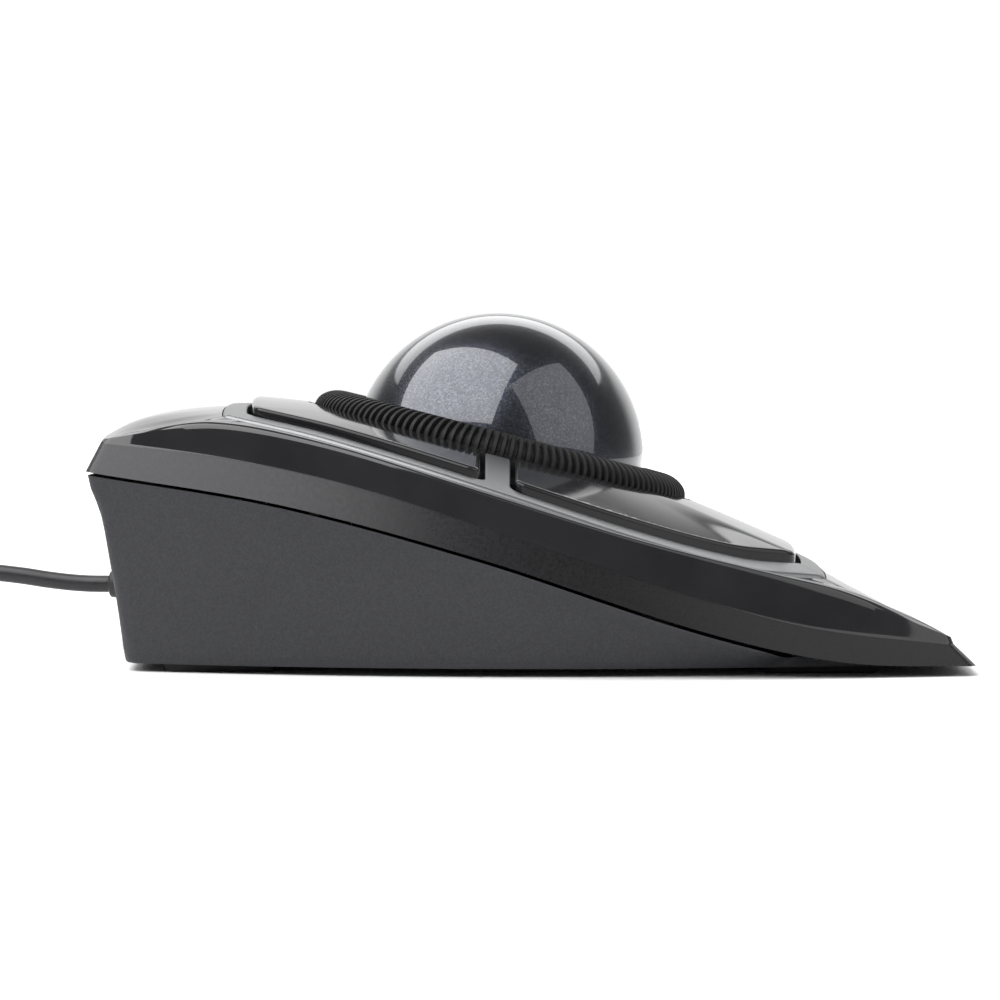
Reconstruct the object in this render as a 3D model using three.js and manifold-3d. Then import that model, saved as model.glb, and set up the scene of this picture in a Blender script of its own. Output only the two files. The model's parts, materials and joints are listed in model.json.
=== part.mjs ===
// A corded desktop trackball: a large ball in a tilted scroll ring, four buttons, a two-part housing.
// Millimetres. +Z up, +Y towards the cable at the back, +X to the device's right.
// The origin is the centre of the rectangle that the device covers, on the surface it stands on.
import * as THREE from "three";
import { mergeVertices } from "three/addons/utils/BufferGeometryUtils.js";
import Module from "manifold-3d";

const wasm = await Module();
wasm.setup();

// ---------------------------------------------------------------- driving dimensions

const GAP = 0.3; // clearance between touching pieces
const TILT = THREE.MathUtils.degToRad(14.4); // ring, cup and main board lean down to the front
const BALL = new THREE.Vector3(0, 5.6, 35.55); // centre of the ball
const BALL_R = 27.5;

const HOUSING_BOTTOM = 1.4; // underside of the lower housing
const FLOOR_TOP = 2.8;
const WALL = 2.2; // wall thickness of both housings

const RING_OUTER_R = 36;
const RING_INNER_R = 28.6;
const RING_TOP = 5.3; // above the ball's centre, along the ring's axis
const RING_BOTTOM = -2.4;
const TOP_AT_RING = 1.4; // where the top surface meets the ring, along the ring's axis
const MOUTH_R = 36.8; // round opening in the top plate and the buttons
const DECK_MOUTH_R = 37.2; // round opening in the deck below them

const PLATE_THICKNESS = 2.9;
const DECK_TOP = 3.2; // depth of the deck below the top surface
const DECK_BOTTOM = 4.8;
const BUTTON_PROUD = 1.2; // buttons stand this far above the plate
const BUTTON_DEPTH = 1; // and reach this far below its surface
const BUTTON_GAP = 0.8;
const BUTTON_RIM = 4; // width of the plate outside the buttons
const BRIDGE = 4.4; // width of the plate between two buttons

const BOARD_TOP = -14; // main board, along the ring's axis
const BOARD_THICKNESS = 1.6;
const SWITCH_AT = { x: 36, y: 28 }; // microswitches, in the tilted frame
const SWITCH_SIZE = { x: 12.8, y: 5.8, z: 6 };
const SWITCH_TOP = BOARD_TOP + GAP + SWITCH_SIZE.z;

const CORD_R = 1.6;
const COIL_CENTRE = new THREE.Vector3(-22.6, 186, 0);
const COIL_MIDDLE_R = 17.6; // to the middle of its turns
const COIL_HALF_WIDTH = 6.8;
const COIL_BOTTOM = 0.9; // the tie passes below it
const COIL_HEIGHT = 13.6;

// Plan outlines: half-widths at the back corner, the front corner and the widest place, then the
// corners' places along Y, how far the back and front bow out, and the size of the corners.
const PLATE_EDGE = {
  back: 46, front: 48, side: 58.6, backY: 52.8, frontY: -50.6, backBow: 2.6, frontBow: 3, corner: 1.2,
};
const ROLL_EDGE = {
  back: 50.8, front: 53.8, side: 61.2, backY: 72.4, frontY: -71, backBow: 3.2, frontBow: 3.6, corner: 2,
};
const CREASE = {
  back: 52, front: 55.2, side: 62.3, backY: 72.8, frontY: -71.4, backBow: 3.2, frontBow: 3.6, corner: 2,
};
const PARTING = {
  back: 54.4, front: 57.4, side: 65, backY: 75.2, frontY: -74.8, backBow: 2.4, frontBow: 2.8, corner: 2.6,
};
const BASE = {
  back: 49, front: 51, side: 60, backY: 69.4, frontY: -67, backBow: 2.4, frontBow: 3, corner: 3,
};

// Heights of those lines along the sides, from the back to the front, as (y, z).
const PLATE_HEIGHT = along([
  [52.8, 44], [35.6, 40.1], [8.6, 31.9], [-18.3, 23], [-38.7, 17.5], [-50.6, 16.2],
]);
const ROLL_HEIGHT = along([
  [72.4, 39.8], [56, 41.7], [35.3, 38.5], [8.5, 30.5],
  [-18.1, 22.4], [-43.2, 15.8], [-55.1, 12.5], [-71, 6.4],
]);
const CREASE_HEIGHT = along([
  [72.8, 39.3], [51.3, 36.8], [28.5, 31.9], [-4.7, 21.2], [-31.3, 12.5], [-48.1, 8.2], [-71.4, 5.2],
]);
const PARTING_HEIGHT = along([
  [75.2, 34.3], [41.7, 28.9], [8.5, 20.1], [-24.5, 9.2], [-42.9, 4.3], [-56, 2.3], [-74.8, 1.7],
]);
// How far the middle of the back and of the front stands above the corners.
const PLATE_RISE = { back: 2.1, front: 0.3 };
const ROLL_RISE = { back: 1.2, front: -0.4 };
const CREASE_RISE = { back: 1, front: -0.4 };
const FLAT_RISE = { back: 0, front: 0 };

// The rolled edge bulges above a straight line between the plate and the wall.
const ROLL_BULGE = along([[76, 1.8], [50, 1.2], [30, 0.6], [-50, 0.4], [-76, 0]]);

// ---------------------------------------------------------------- curves and outlines

// A smooth curve z(y) through knots that run from high y to low y.
function along(knots) {
  const slope = knots.map((knot, i) => {
    const before = knots[Math.max(i - 1, 0)];
    const after = knots[Math.min(i + 1, knots.length - 1)];
    return (after[1] - before[1]) / (after[0] - before[0]);
  });
  return (y) => {
    const inside = THREE.MathUtils.clamp(y, knots[knots.length - 1][0], knots[0][0]);
    let i = 0;
    while (i < knots.length - 2 && inside < knots[i + 1][0]) i += 1;
    const span = knots[i + 1][0] - knots[i][0];
    const t = (inside - knots[i][0]) / span;
    const u = 1 - t;
    return (
      knots[i][1] * (1 + 2 * t) * u * u +
      knots[i + 1][1] * (3 - 2 * t) * t * t +
      span * (slope[i] * t * u * u - slope[i + 1] * u * t * t)
    );
  };
}

const SIDE_STEPS = 12;
const END_STEPS = 8;
const CORNER_STEPS = 3;

// A closed outline of four bowed sides, counter-clockwise from the right end of the back.
function outline(plan) {
  const middle = (plan.back + plan.front) / 2;
  const bow = plan.side - middle;
  const side = (t) => {
    const y = plan.backY + (plan.frontY - plan.backY) * t;
    return [plan.back + (plan.front - plan.back) * t + bow * 4 * t * (1 - t), y];
  };
  const back = (t) => [plan.back * (1 - 2 * t), plan.backY + plan.backBow * 4 * t * (1 - t)];
  const front = (t) => [plan.front * (2 * t - 1), plan.frontY - plan.frontBow * 4 * t * (1 - t)];
  const left = (t) => [-side(t)[0], side(t)[1]];
  const right = (t) => side(1 - t);
  const sides = [
    { at: back, length: 2 * plan.back, steps: END_STEPS },
    { at: left, length: plan.backY - plan.frontY, steps: SIDE_STEPS },
    { at: front, length: 2 * plan.front, steps: END_STEPS },
    { at: right, length: plan.backY - plan.frontY, steps: SIDE_STEPS },
  ];
  const points = [];
  sides.forEach((now, k) => {
    const next = sides[(k + 1) % sides.length];
    const cut = plan.corner / now.length;
    for (let i = 0; i <= now.steps; i += 1) {
      points.push(now.at(cut + ((1 - 2 * cut) * i) / now.steps));
    }
    const from = now.at(1 - cut);
    const corner = now.at(1);
    const to = next.at(plan.corner / next.length);
    for (let i = 1; i < CORNER_STEPS; i += 1) {
      const t = i / CORNER_STEPS;
      const u = 1 - t;
      points.push([0, 1].map((c) => u * u * from[c] + 2 * u * t * corner[c] + t * t * to[c]));
    }
  });
  return points;
}

// Moves a closed outline inwards by a distance, which may depend on the point.
function inset(points, distance) {
  const amount = typeof distance === "function" ? distance : () => distance;
  return points.map((p, i) => {
    const a = points[(i + points.length - 1) % points.length];
    const b = points[(i + 1) % points.length];
    const length = Math.hypot(b[0] - a[0], b[1] - a[1]);
    const inward = [-(b[1] - a[1]) / length, (b[0] - a[0]) / length];
    const d = amount(p);
    return [p[0] + inward[0] * d, p[1] + inward[1] * d];
  });
}

// The same outline, smaller all round by a distance, with corners of its own.
function smaller(plan, d, corner) {
  return {
    ...plan,
    back: plan.back - d,
    front: plan.front - d,
    side: plan.side - d,
    backY: plan.backY - d,
    frontY: plan.frontY + d,
    corner,
  };
}

// The height of a line round the body: its height along the sides, and a crown across each end.
function lineHeight(plan, height, rise) {
  return ([x, y]) => {
    const back = THREE.MathUtils.smoothstep(y, plan.backY - plan.corner, plan.backY);
    const front = THREE.MathUtils.smoothstep(-y, -plan.frontY - plan.corner, -plan.frontY);
    const backCrown = rise.back * Math.max(0, 1 - (x / plan.back) ** 2);
    const frontCrown = rise.front * Math.max(0, 1 - (x / plan.front) ** 2);
    return height(y) + back * backCrown + front * frontCrown;
  };
}

function lift(points, height) {
  return points.map((p) => new THREE.Vector3(p[0], p[1], height(p)));
}

function line(plan, height, rise) {
  return lift(outline(plan), lineHeight(plan, height, rise));
}

function mixPoints(a, b, t) {
  return a.map((p, i) => p.clone().lerp(b[i], t));
}

function lowered(points, depth) {
  return points.map((p) => new THREE.Vector3(p.x, p.y, p.z - depth));
}

// ---------------------------------------------------------------- solids

// A closed surface through rings of equal point count. The two ends are joined for a ring-shaped
// solid, or capped flat.
function loft(rings, ringShaped = false) {
  const n = rings[0].length;
  const places = rings.flat().flatMap((p) => [p.x, p.y, p.z]);
  const index = [];
  const bands = ringShaped ? rings.length : rings.length - 1;
  for (let k = 0; k < bands; k += 1) {
    const a = k * n;
    const b = ((k + 1) % rings.length) * n;
    for (let i = 0; i < n; i += 1) {
      const j = (i + 1) % n;
      index.push(a + i, a + j, b + j, a + i, b + j, b + i);
    }
  }
  if (!ringShaped) {
    [0, rings.length - 1].forEach((k) => {
      const centre = new THREE.Vector3();
      rings[k].forEach((p) => centre.addScaledVector(p, 1 / n));
      const c = places.length / 3;
      places.push(centre.x, centre.y, centre.z);
      for (let i = 0; i < n; i += 1) {
        const j = (i + 1) % n;
        if (k === 0) index.push(c, k * n + j, k * n + i);
        else index.push(c, k * n + i, k * n + j);
      }
    });
  }
  const geometry = new THREE.BufferGeometry();
  geometry.setAttribute("position", new THREE.Float32BufferAttribute(places, 3));
  geometry.setIndex(index);
  return geometry;
}

// A closed geometry as a manifold solid, its faces turned outwards.
function solid(geometry) {
  const bare = geometry.index ? geometry.toNonIndexed() : geometry.clone();
  bare.deleteAttribute("normal");
  bare.deleteAttribute("uv");
  const merged = mergeVertices(bare, 1e-4);
  const triVerts = new Uint32Array(merged.index.array);
  const make = () =>
    new wasm.Manifold(
      new wasm.Mesh({ numProp: 3, vertProperties: merged.attributes.position.array, triVerts }),
    );
  const made = make();
  if (made.volume() > 0) return made;
  for (let i = 0; i < triVerts.length; i += 3) {
    [triVerts[i + 1], triVerts[i + 2]] = [triVerts[i + 2], triVerts[i + 1]];
  }
  return make();
}

function toGeometry(made) {
  const mesh = made.getMesh();
  const places = new Float32Array(mesh.numVert * 3);
  for (let i = 0; i < mesh.numVert; i += 1) {
    places.set(mesh.vertProperties.subarray(i * mesh.numProp, i * mesh.numProp + 3), i * 3);
  }
  const geometry = new THREE.BufferGeometry();
  geometry.setAttribute("position", new THREE.BufferAttribute(places, 3));
  geometry.setIndex(new THREE.BufferAttribute(new Uint32Array(mesh.triVerts), 1));
  return geometry;
}

const joined = (first, ...rest) => rest.reduce((all, next) => all.add(next), first);
const cut = (first, ...tools) => tools.reduce((left, tool) => left.subtract(tool), first);

function box(x, y, z, at = [0, 0, 0]) {
  return new THREE.BoxGeometry(x, y, z).translate(at[0], at[1], at[2]);
}

// A cylinder along Z from one height to another.
function rod(r, from, to, at = [0, 0], sides = 12) {
  return new THREE.CylinderGeometry(r, r, to - from, sides)
    .rotateX(Math.PI / 2)
    .translate(at[0], at[1], (from + to) / 2);
}

// A profile of (radius, height) pairs turned about Z. It closes on itself or ends on the axis.
function turned(profile, sides) {
  const points = profile.map(([r, z]) => new THREE.Vector2(r, z));
  return new THREE.LatheGeometry(points, sides).rotateX(Math.PI / 2);
}

function closedProfile(profile) {
  return [...profile, profile[0]];
}

function roundedPlate(width, height, r) {
  const shape = new THREE.Shape();
  const [x, y] = [width / 2, height / 2];
  shape.moveTo(-x + r, -y);
  shape.lineTo(x - r, -y);
  shape.absarc(x - r, -y + r, r, -Math.PI / 2, 0);
  shape.lineTo(x, y - r);
  shape.absarc(x - r, y - r, r, 0, Math.PI / 2);
  shape.lineTo(-x + r, y);
  shape.absarc(-x + r, y - r, r, Math.PI / 2, Math.PI);
  shape.lineTo(-x, -y + r);
  shape.absarc(-x + r, -y + r, r, Math.PI, Math.PI * 1.5);
  return shape;
}

function extruded(shape, depth, curveSegments = 1) {
  return new THREE.ExtrudeGeometry(shape, { depth, bevelEnabled: false, curveSegments });
}

// ---------------------------------------------------------------- the tilted frame

const tilted = new THREE.Group();
tilted.position.copy(BALL);
tilted.rotation.x = TILT;
tilted.updateMatrixWorld(true);

const tilt = (geometry) => geometry.clone().applyMatrix4(tilted.matrixWorld);
const tiltedPoint = (x, y, z) => new THREE.Vector3(x, y, z).applyMatrix4(tilted.matrixWorld);

// ---------------------------------------------------------------- the top surface

// The top surface runs from the plate's outer edge to a circle round the ring, point for point.
const plateEdge = line(PLATE_EDGE, PLATE_HEIGHT, PLATE_RISE);

function mouthCircle(r) {
  return plateEdge.map((p) => {
    const angle = Math.atan2((p.y - BALL.y) / Math.cos(TILT), p.x);
    return tiltedPoint(r * Math.cos(angle), r * Math.sin(angle), TOP_AT_RING);
  });
}

const TOP_BULGE = 0.4;

function topRing(outer, innerR, t, depth) {
  const ring = mixPoints(outer, mouthCircle(innerR), t);
  return lowered(ring, depth - TOP_BULGE * t * (1 - t));
}

// A ring-shaped slab that follows the top surface between two depths.
function topSlab(outer, innerR, from, to) {
  const steps = [0, 0.3, 0.65, 1];
  const top = steps.map((t) => topRing(outer, innerR, t, from));
  const bottom = steps.toReversed().map((t) => topRing(outer, innerR, t, to));
  return solid(loft([...top, ...bottom], true));
}

// A tall upright prism on a plan outline.
function prism(points) {
  return solid(loft([lift(points, () => -20), lift(points, () => 90)]));
}

// The cross of bridges between the four buttons, as an upright tool.
function bridges(width) {
  const across = solid(box(160, width, 110, [0, BALL.y, 35]));
  const lengthwise = solid(box(width, 200, 110, [0, 0, 35]));
  return joined(across, lengthwise);
}

const mouth = (r) => solid(tilt(rod(r, -60, 60, [0, 0], 56)));

function topPlate() {
  const slab = topSlab(plateEdge, MOUTH_R - 0.6, 0, PLATE_THICKNESS);
  const openings = cut(prism(outline(smaller(PLATE_EDGE, BUTTON_RIM, 2.4))), bridges(BRIDGE));
  return cut(slab, openings, mouth(MOUTH_R));
}

// ---------------------------------------------------------------- buttons

const POST_R = 1.8;
const PLUNGER_STANDS = 1; // how far a switch's plunger stands out of its body
const POST_TIP = SWITCH_TOP + PLUNGER_STANDS + GAP;
const BARREL = { r: 1.2, length: 12, x: 44, y: 4.6, z: -2.9 }; // the hinge barrel's middle

// sideX is -1 on the left and 1 on the right; sideY is -1 at the front and 1 at the rear.
function button(sideX, sideY) {
  const slab = topSlab(plateEdge, MOUTH_R - 0.6, -BUTTON_PROUD, BUTTON_DEPTH);
  const area = cut(
    prism(outline(smaller(PLATE_EDGE, BUTTON_RIM + BUTTON_GAP, 2))),
    bridges(BRIDGE + 2 * BUTTON_GAP),
    mouth(MOUTH_R),
  );
  const quarter = solid(box(80, 80, 110, [sideX * 40, BALL.y + sideY * 40, 35]));
  const at = [sideX * SWITCH_AT.x, sideY * SWITCH_AT.y];
  const post = rod(POST_R, POST_TIP, TOP_AT_RING - 1.6, at, 10);
  const hinge = [sideX * BARREL.x, sideY * BARREL.y, BARREL.z];
  const barrel = new THREE.CylinderGeometry(BARREL.r, BARREL.r, BARREL.length, 10)
    .rotateZ(Math.PI / 2)
    .translate(...hinge);
  const web = box(BARREL.length, 1.2, 3, [hinge[0], hinge[1], hinge[2] + 1.5]);
  const cap = slab.intersect(area).intersect(quarter);
  const under = joined(solid(tilt(post)), solid(tilt(barrel)), solid(tilt(web)));
  // Nothing of the barrel or its web comes through the cap.
  const above = topSlab(plateEdge, MOUTH_R - 0.6, -20, -BUTTON_PROUD + 0.4);
  return joined(cap, under.subtract(above));
}

// ---------------------------------------------------------------- housings

// The screws' places, the heights of their heads and tips, and a height inside the shell's roof.
const HOUSING_SCREWS = [
  { name: "rear_left", x: -37, y: 61, head: 9, tip: 20, roof: 41.5 },
  { name: "rear_right", x: 37, y: 61, head: 9, tip: 20, roof: 41.5 },
  { name: "front_left", x: -38, y: -58, head: 1.9, tip: 8.2, roof: 10.1 },
  { name: "front_right", x: 38, y: -58, head: 1.9, tip: 8.2, roof: 10.1 },
];
const HOUSING_SCREW = { r: 1.25, headR: 2.6, headHeight: 1.6 };
const BOARD_SCREWS = [
  { name: "rear_left", x: -24, y: 41 },
  { name: "rear_right", x: 24, y: 41 },
  { name: "front_left", x: -22, y: -40 },
  { name: "front_right", x: 22, y: -40 },
];
const BOARD_SCREW = { r: 1, headR: 1.9, headHeight: 1.2, length: 5 };

function rollRing(t) {
  const inner = line(PLATE_EDGE, PLATE_HEIGHT, PLATE_RISE);
  const outer = line(ROLL_EDGE, ROLL_HEIGHT, ROLL_RISE);
  return mixPoints(inner, outer, t).map(
    (p) => new THREE.Vector3(p.x, p.y, p.z + ROLL_BULGE(p.y) * 4 * t * (1 - t)),
  );
}

function upperShell() {
  const rimOutline = outline(smaller(PLATE_EDGE, -GAP, PLATE_EDGE.corner + GAP));
  const rim = lift(rimOutline, lineHeight(PLATE_EDGE, PLATE_HEIGHT, PLATE_RISE));
  const rollLine = lineHeight(ROLL_EDGE, ROLL_HEIGHT, ROLL_RISE);
  const creaseLine = lineHeight(CREASE, CREASE_HEIGHT, CREASE_RISE);
  const partingLine = lineHeight(PARTING, PARTING_HEIGHT, FLAT_RISE);
  const [roll, crease, parting] = [outline(ROLL_EDGE), outline(CREASE), outline(PARTING)];
  const creaseInner = inset(crease, WALL).map(
    (p, i) => new THREE.Vector3(p[0], p[1], creaseLine(crease[i]) - 1.2),
  );
  const rollInner = inset(roll, WALL + 0.2).map((p, i) => {
    const wall = Math.max(0.4, rollLine(roll[i]) - creaseLine(crease[i]));
    return new THREE.Vector3(p[0], p[1], creaseInner[i].z + 0.75 * wall);
  });
  const partingInner = inset(parting, WALL).map(
    (p, i) => new THREE.Vector3(p[0], p[1], partingLine(parting[i])),
  );
  const steps = [1, 0.5, 0];
  const deckTop = steps.map((t) => topRing(rim, DECK_MOUTH_R - 0.6, t, DECK_TOP));
  const deckBottom = steps
    .toReversed()
    .map((t) => topRing(plateEdge, DECK_MOUTH_R - 0.6, t, DECK_BOTTOM));
  const skin = solid(
    loft(
      [
        ...deckTop,
        rim,
        rollRing(0.3),
        rollRing(0.65),
        lift(roll, rollLine),
        lift(crease, creaseLine),
        lift(parting, partingLine),
        partingInner,
        creaseInner,
        rollInner,
        ...deckBottom,
      ],
      true,
    ),
  );
  // Bosses hang from the roof: four for the housing's screws and four that carry the main board.
  const bosses = HOUSING_SCREWS.map(({ x, y, head, roof }) => {
    const foot = head + HOUSING_SCREW.headHeight + 2.2;
    return solid(rod(3, foot, roof, [x, y], 12));
  });
  const bores = HOUSING_SCREWS.map(({ x, y, tip }) => {
    return solid(rod(HOUSING_SCREW.r + GAP, -5, tip + 0.6, [x, y], 8));
  });
  const boardBosses = BOARD_SCREWS.map(({ x, y }) => {
    return solid(tilt(rod(2.6, BOARD_TOP + GAP, -3.6, [x, y], 10)));
  });
  const boardBores = BOARD_SCREWS.map(({ x, y }) => {
    const depth = BOARD_SCREW.length - BOARD_THICKNESS;
    return solid(tilt(rod(BOARD_SCREW.r + GAP, BOARD_TOP - 1, BOARD_TOP + depth, [x, y], 8)));
  });
  const postHoles = eachCorner((sx, sy) => {
    const at = [sx * SWITCH_AT.x, sy * SWITCH_AT.y];
    return solid(tilt(rod(POST_R + 0.8, POST_TIP - 2, 4, at, 10)));
  });
  const hingeSlots = eachCorner((sx, sy) => {
    return solid(tilt(box(BARREL.length + 1.4, 4, 9, [sx * BARREL.x, sy * BARREL.y, BARREL.z])));
  });
  const trackSeat = solid(tilt(rod(40, -9, -4.4, [0, 0], 40)));
  const body = joined(cut(skin, trackSeat, mouth(DECK_MOUTH_R)), ...bosses, ...boardBosses);
  return cut(body, ...bores, ...boardBores, ...postHoles, ...hingeSlots);
}

function eachCorner(make) {
  return [-1, 1].flatMap((sx) => [-1, 1].map((sy) => make(sx, sy)));
}

// The tub's wall leans in from the parting line down to the base, as (share of height, share of lean).
const TUB_PROFILE = [[0, 0], [0.55, 0.42], [0.8, 0.66], [0.93, 0.95], [1, 1]];
const TUB_GAP = 1.1; // the shadow line below the shell's skirt
const TUB_REVEAL = 0.3; // how far the tub stands back from the skirt's edge
const NOSE_RIM = 0.3; // height of the tub's rim where the skirt hides it

function tubOutlines() {
  const base = outline(BASE);
  // The tub's top edge is just inside the skirt at the sides, and well inside it round the nose.
  const parting = outline(PARTING);
  const flush = outline(smaller(PARTING, TUB_REVEAL, PARTING.corner));
  const tucked = outline(smaller(PARTING, TUB_REVEAL + 6.2, PARTING.corner));
  const top = flush.map((p, i) => {
    const hidden = THREE.MathUtils.smoothstep(-p[1], 36, 50);
    return [0, 1].map((c) => p[c] + (tucked[i][c] - p[c]) * hidden);
  });
  const height = parting.map((p) => Math.max(PARTING_HEIGHT(p[1]) - TUB_GAP, FLOOR_TOP + NOSE_RIM));
  return { base, top, height };
}

function tubRing({ base, top, height }, share, lean, thickness, floor) {
  const flat = base.map((p, i) => [0, 1].map((c) => p[c] + (top[i][c] - p[c]) * lean));
  const inner = thickness ? inset(flat, thickness) : flat;
  return inner.map((p, i) => new THREE.Vector3(p[0], p[1], floor + (height[i] - floor) * share));
}

const GROMMET = { y: 73, z: 11.9, r: 2.9, flangeR: 4.4, tipR: 2.5 };
const PEDESTAL = { outerR: 16, innerR: 14, top: 8 };
const FEET = [
  { name: "rear_left", x: -46, y: 53 },
  { name: "rear_right", x: 46, y: 53 },
  { name: "front_left", x: -48, y: -49.4 },
  { name: "front_right", x: 48, y: -49.4 },
];
const FOOT = { width: 7.6, length: 19.4, top: 2, pocket: 2.2 };
const SENSOR_TILT = THREE.MathUtils.degToRad(30); // the sensor looks up at the ball from behind

function lowerHousing() {
  const tub = tubOutlines();
  const outer = TUB_PROFILE.map(([share, lean]) => tubRing(tub, share, lean, 0, HOUSING_BOTTOM));
  const inner = TUB_PROFILE.map(([share, lean]) => tubRing(tub, share, lean, WALL, FLOOR_TOP));
  const open = lowered(inner[inner.length - 1], -12);
  const hollow = solid(loft([...inner, open]));
  const shell = solid(loft(outer)).subtract(hollow);
  const pedestal = turned(
    closedProfile([
      [PEDESTAL.innerR, FLOOR_TOP - 1],
      [PEDESTAL.outerR, FLOOR_TOP - 1],
      [PEDESTAL.outerR, PEDESTAL.top],
      [PEDESTAL.innerR, PEDESTAL.top],
    ]),
    24,
  ).translate(BALL.x, BALL.y, 0);
  const bosses = HOUSING_SCREWS.map(({ x, y, head }) => {
    return solid(rod(4.4, FLOOR_TOP - 1, head + HOUSING_SCREW.headHeight + 1.8, [x, y], 12));
  });
  const screwHoles = HOUSING_SCREWS.flatMap(({ x, y, head }) => [
    solid(rod(HOUSING_SCREW.headR + GAP, -5, head + HOUSING_SCREW.headHeight + GAP, [x, y], 10)),
    solid(rod(HOUSING_SCREW.r + GAP, -5, 40, [x, y], 8)),
  ]);
  const sensorRibs = [-1, 1].map((side) => solid(box(1.6, 10, 12, [side * 13.4, 37.5, FLOOR_TOP + 5])));
  const pockets = FEET.map(({ x, y }) => {
    const pocket = roundedPlate(FOOT.width + 2 * GAP, FOOT.length + 2 * GAP, 2);
    return solid(extruded(pocket, 5).translate(x, y, FOOT.pocket - 5));
  });
  const hole = rod(GROMMET.r + GAP, -8, 12).rotateX(-Math.PI / 2);
  const cableHole = solid(hole.translate(0, GROMMET.y, GROMMET.z));
  return cut(
    joined(shell, solid(pedestal), ...bosses, ...sensorRibs),
    ...screwHoles,
    ...pockets,
    cableHole,
  );
}

// ---------------------------------------------------------------- ring, track, ball and cup

const RING_PROFILE = [
  [RING_INNER_R, RING_BOTTOM],
  [31.1, RING_BOTTOM],
  [31.1, 3.4],
  [33, 3.4],
  [33, RING_BOTTOM],
  [RING_OUTER_R, RING_BOTTOM],
  [RING_OUTER_R, 1.6],
  [35.6, 3.3],
  [34.4, 4.5],
  [32.2, 5.2],
  [31.4, RING_TOP],
  [29.2, RING_TOP],
  [RING_INNER_R, 4.7],
];
const COMB = { innerR: 31.4, outerR: 32.4, top: 3.1, bottom: -12, slots: 24, slot: 2, slotTop: -7 };
const TRACK_PROFILE = [
  [33.6, -5.8], [39.6, -5.8], [39.6, -4.7], [36.9, -4.7], [36.9, -2.8], [33.6, -2.8],
];
const CUP = { innerR: 28.5, outerR: 30.5, rim: -2.8 };
const BEARING = { r: 2, fromPole: THREE.MathUtils.degToRad(55), azimuths: [-90, 30, 150] };

function encoderComb() {
  const wall = turned(
    closedProfile([
      [COMB.innerR, COMB.bottom],
      [COMB.outerR, COMB.bottom],
      [COMB.outerR, COMB.top],
      [COMB.innerR, COMB.top],
    ]),
    48,
  );
  const height = COMB.slotTop - COMB.bottom + 1;
  const slots = Array.from({ length: COMB.slots }, (_, i) => {
    return solid(
      box(4, COMB.slot, height, [32, 0, COMB.slotTop - height / 2])
        .rotateZ(((i + 0.5) * 2 * Math.PI) / COMB.slots),
    );
  });
  return cut(solid(wall), ...slots);
}

// A direction out of the ball's centre, as a turn that takes -Z to it.
function bearingTurn(azimuth) {
  return new THREE.Matrix4()
    .makeRotationZ(THREE.MathUtils.degToRad(azimuth))
    .multiply(new THREE.Matrix4().makeRotationY(-BEARING.fromPole));
}

function arc(r, from, to, steps) {
  return Array.from({ length: steps + 1 }, (_, i) => {
    const angle = from + ((to - from) * i) / steps;
    return [r * Math.sin(angle), -r * Math.cos(angle)];
  });
}

function ballCup() {
  const rimOuter = Math.acos(-CUP.rim / CUP.outerR);
  const rimInner = Math.acos(-CUP.rim / CUP.innerR);
  const bowl = solid(
    turned([...arc(CUP.outerR, 0, rimOuter, 7), ...arc(CUP.innerR, 0, rimInner, 7).toReversed()], 28),
  );
  const bosses = BEARING.azimuths.map((azimuth) =>
    solid(rod(3.6, -33.2, -29.2, [0, 0], 12).applyMatrix4(bearingTurn(azimuth))),
  );
  const sockets = BEARING.azimuths.map((azimuth) =>
    solid(rod(BEARING.r + GAP, -32.1, -20, [0, 0], 10).applyMatrix4(bearingTurn(azimuth))),
  );
  const window = solid(
    box(11, 10, 20, [0, 0, -33]).rotateX(Math.PI / 2 - SENSOR_TILT - TILT),
  );
  return cut(joined(bowl, ...bosses), ...sockets, window);
}

// ---------------------------------------------------------------- electronics

const BOARD = { halfWidth: 46, back: 46, front: -46, chamfer: 9, hole: 29.2 };
const SENSOR_BOARD = { width: 24, length: 18, thickness: 1.2, distance: 36.2 };

function mainBoard() {
  const { halfWidth: w, back, front, chamfer: c } = BOARD;
  const shape = new THREE.Shape([
    [w, front + c], [w, back - c], [w - c, back], [-w + c, back],
    [-w, back - c], [-w, front + c], [-w + c, front], [w - c, front],
  ].map(([x, y]) => new THREE.Vector2(x, y)));
  const hole = new THREE.Path();
  hole.absarc(0, 0, BOARD.hole, 0, 2 * Math.PI, true);
  shape.holes.push(hole);
  const slab = extruded(shape, BOARD_THICKNESS, 14).translate(0, 0, BOARD_TOP - BOARD_THICKNESS);
  const holes = BOARD_SCREWS.map(({ x, y }) => solid(rod(BOARD_SCREW.r + GAP, -20, 0, [x, y], 12)));
  return cut(solid(slab), ...holes);
}

const PLUNGER = { x: 2.8, y: 1.4, height: 3.4 };

function switchBody() {
  const { x, y, z } = SWITCH_SIZE;
  const well = box(PLUNGER.x + 2 * GAP, PLUNGER.y + 2 * GAP, 4, [0, 0, z - 1.6]);
  return cut(solid(box(x, y, z, [0, 0, z / 2])), solid(well));
}

function screw({ r, headR, headHeight }, length) {
  return turned(
    [
      [0, 0],
      [headR, 0],
      [headR, headHeight],
      [r, headHeight],
      [r, length - 0.8],
      [0, length],
    ],
    10,
  );
}

// ---------------------------------------------------------------- cable

const GROMMET_TIP = 79;
const CORD_FLOOR = COIL_BOTTOM + CORD_R + 0.1;
// The cable leaves level, rises a little, and comes down to the surface on its way to the coil.
const CORD_ROUTE = [
  [0, GROMMET_TIP + GAP, GROMMET.z], [0, 84, 12], [0, 90, 12.6], [0, 96, 13.5], [0, 102, 14.1],
  [0, 109, 14.1], [0, 117, 12.8], [0, 126, 10.1], [0, 136, 7], [0, 146, 4.5], [0, 156, 3.1],
  [0, 165, CORD_FLOOR], [0, 173.1, CORD_FLOOR],
];
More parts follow.
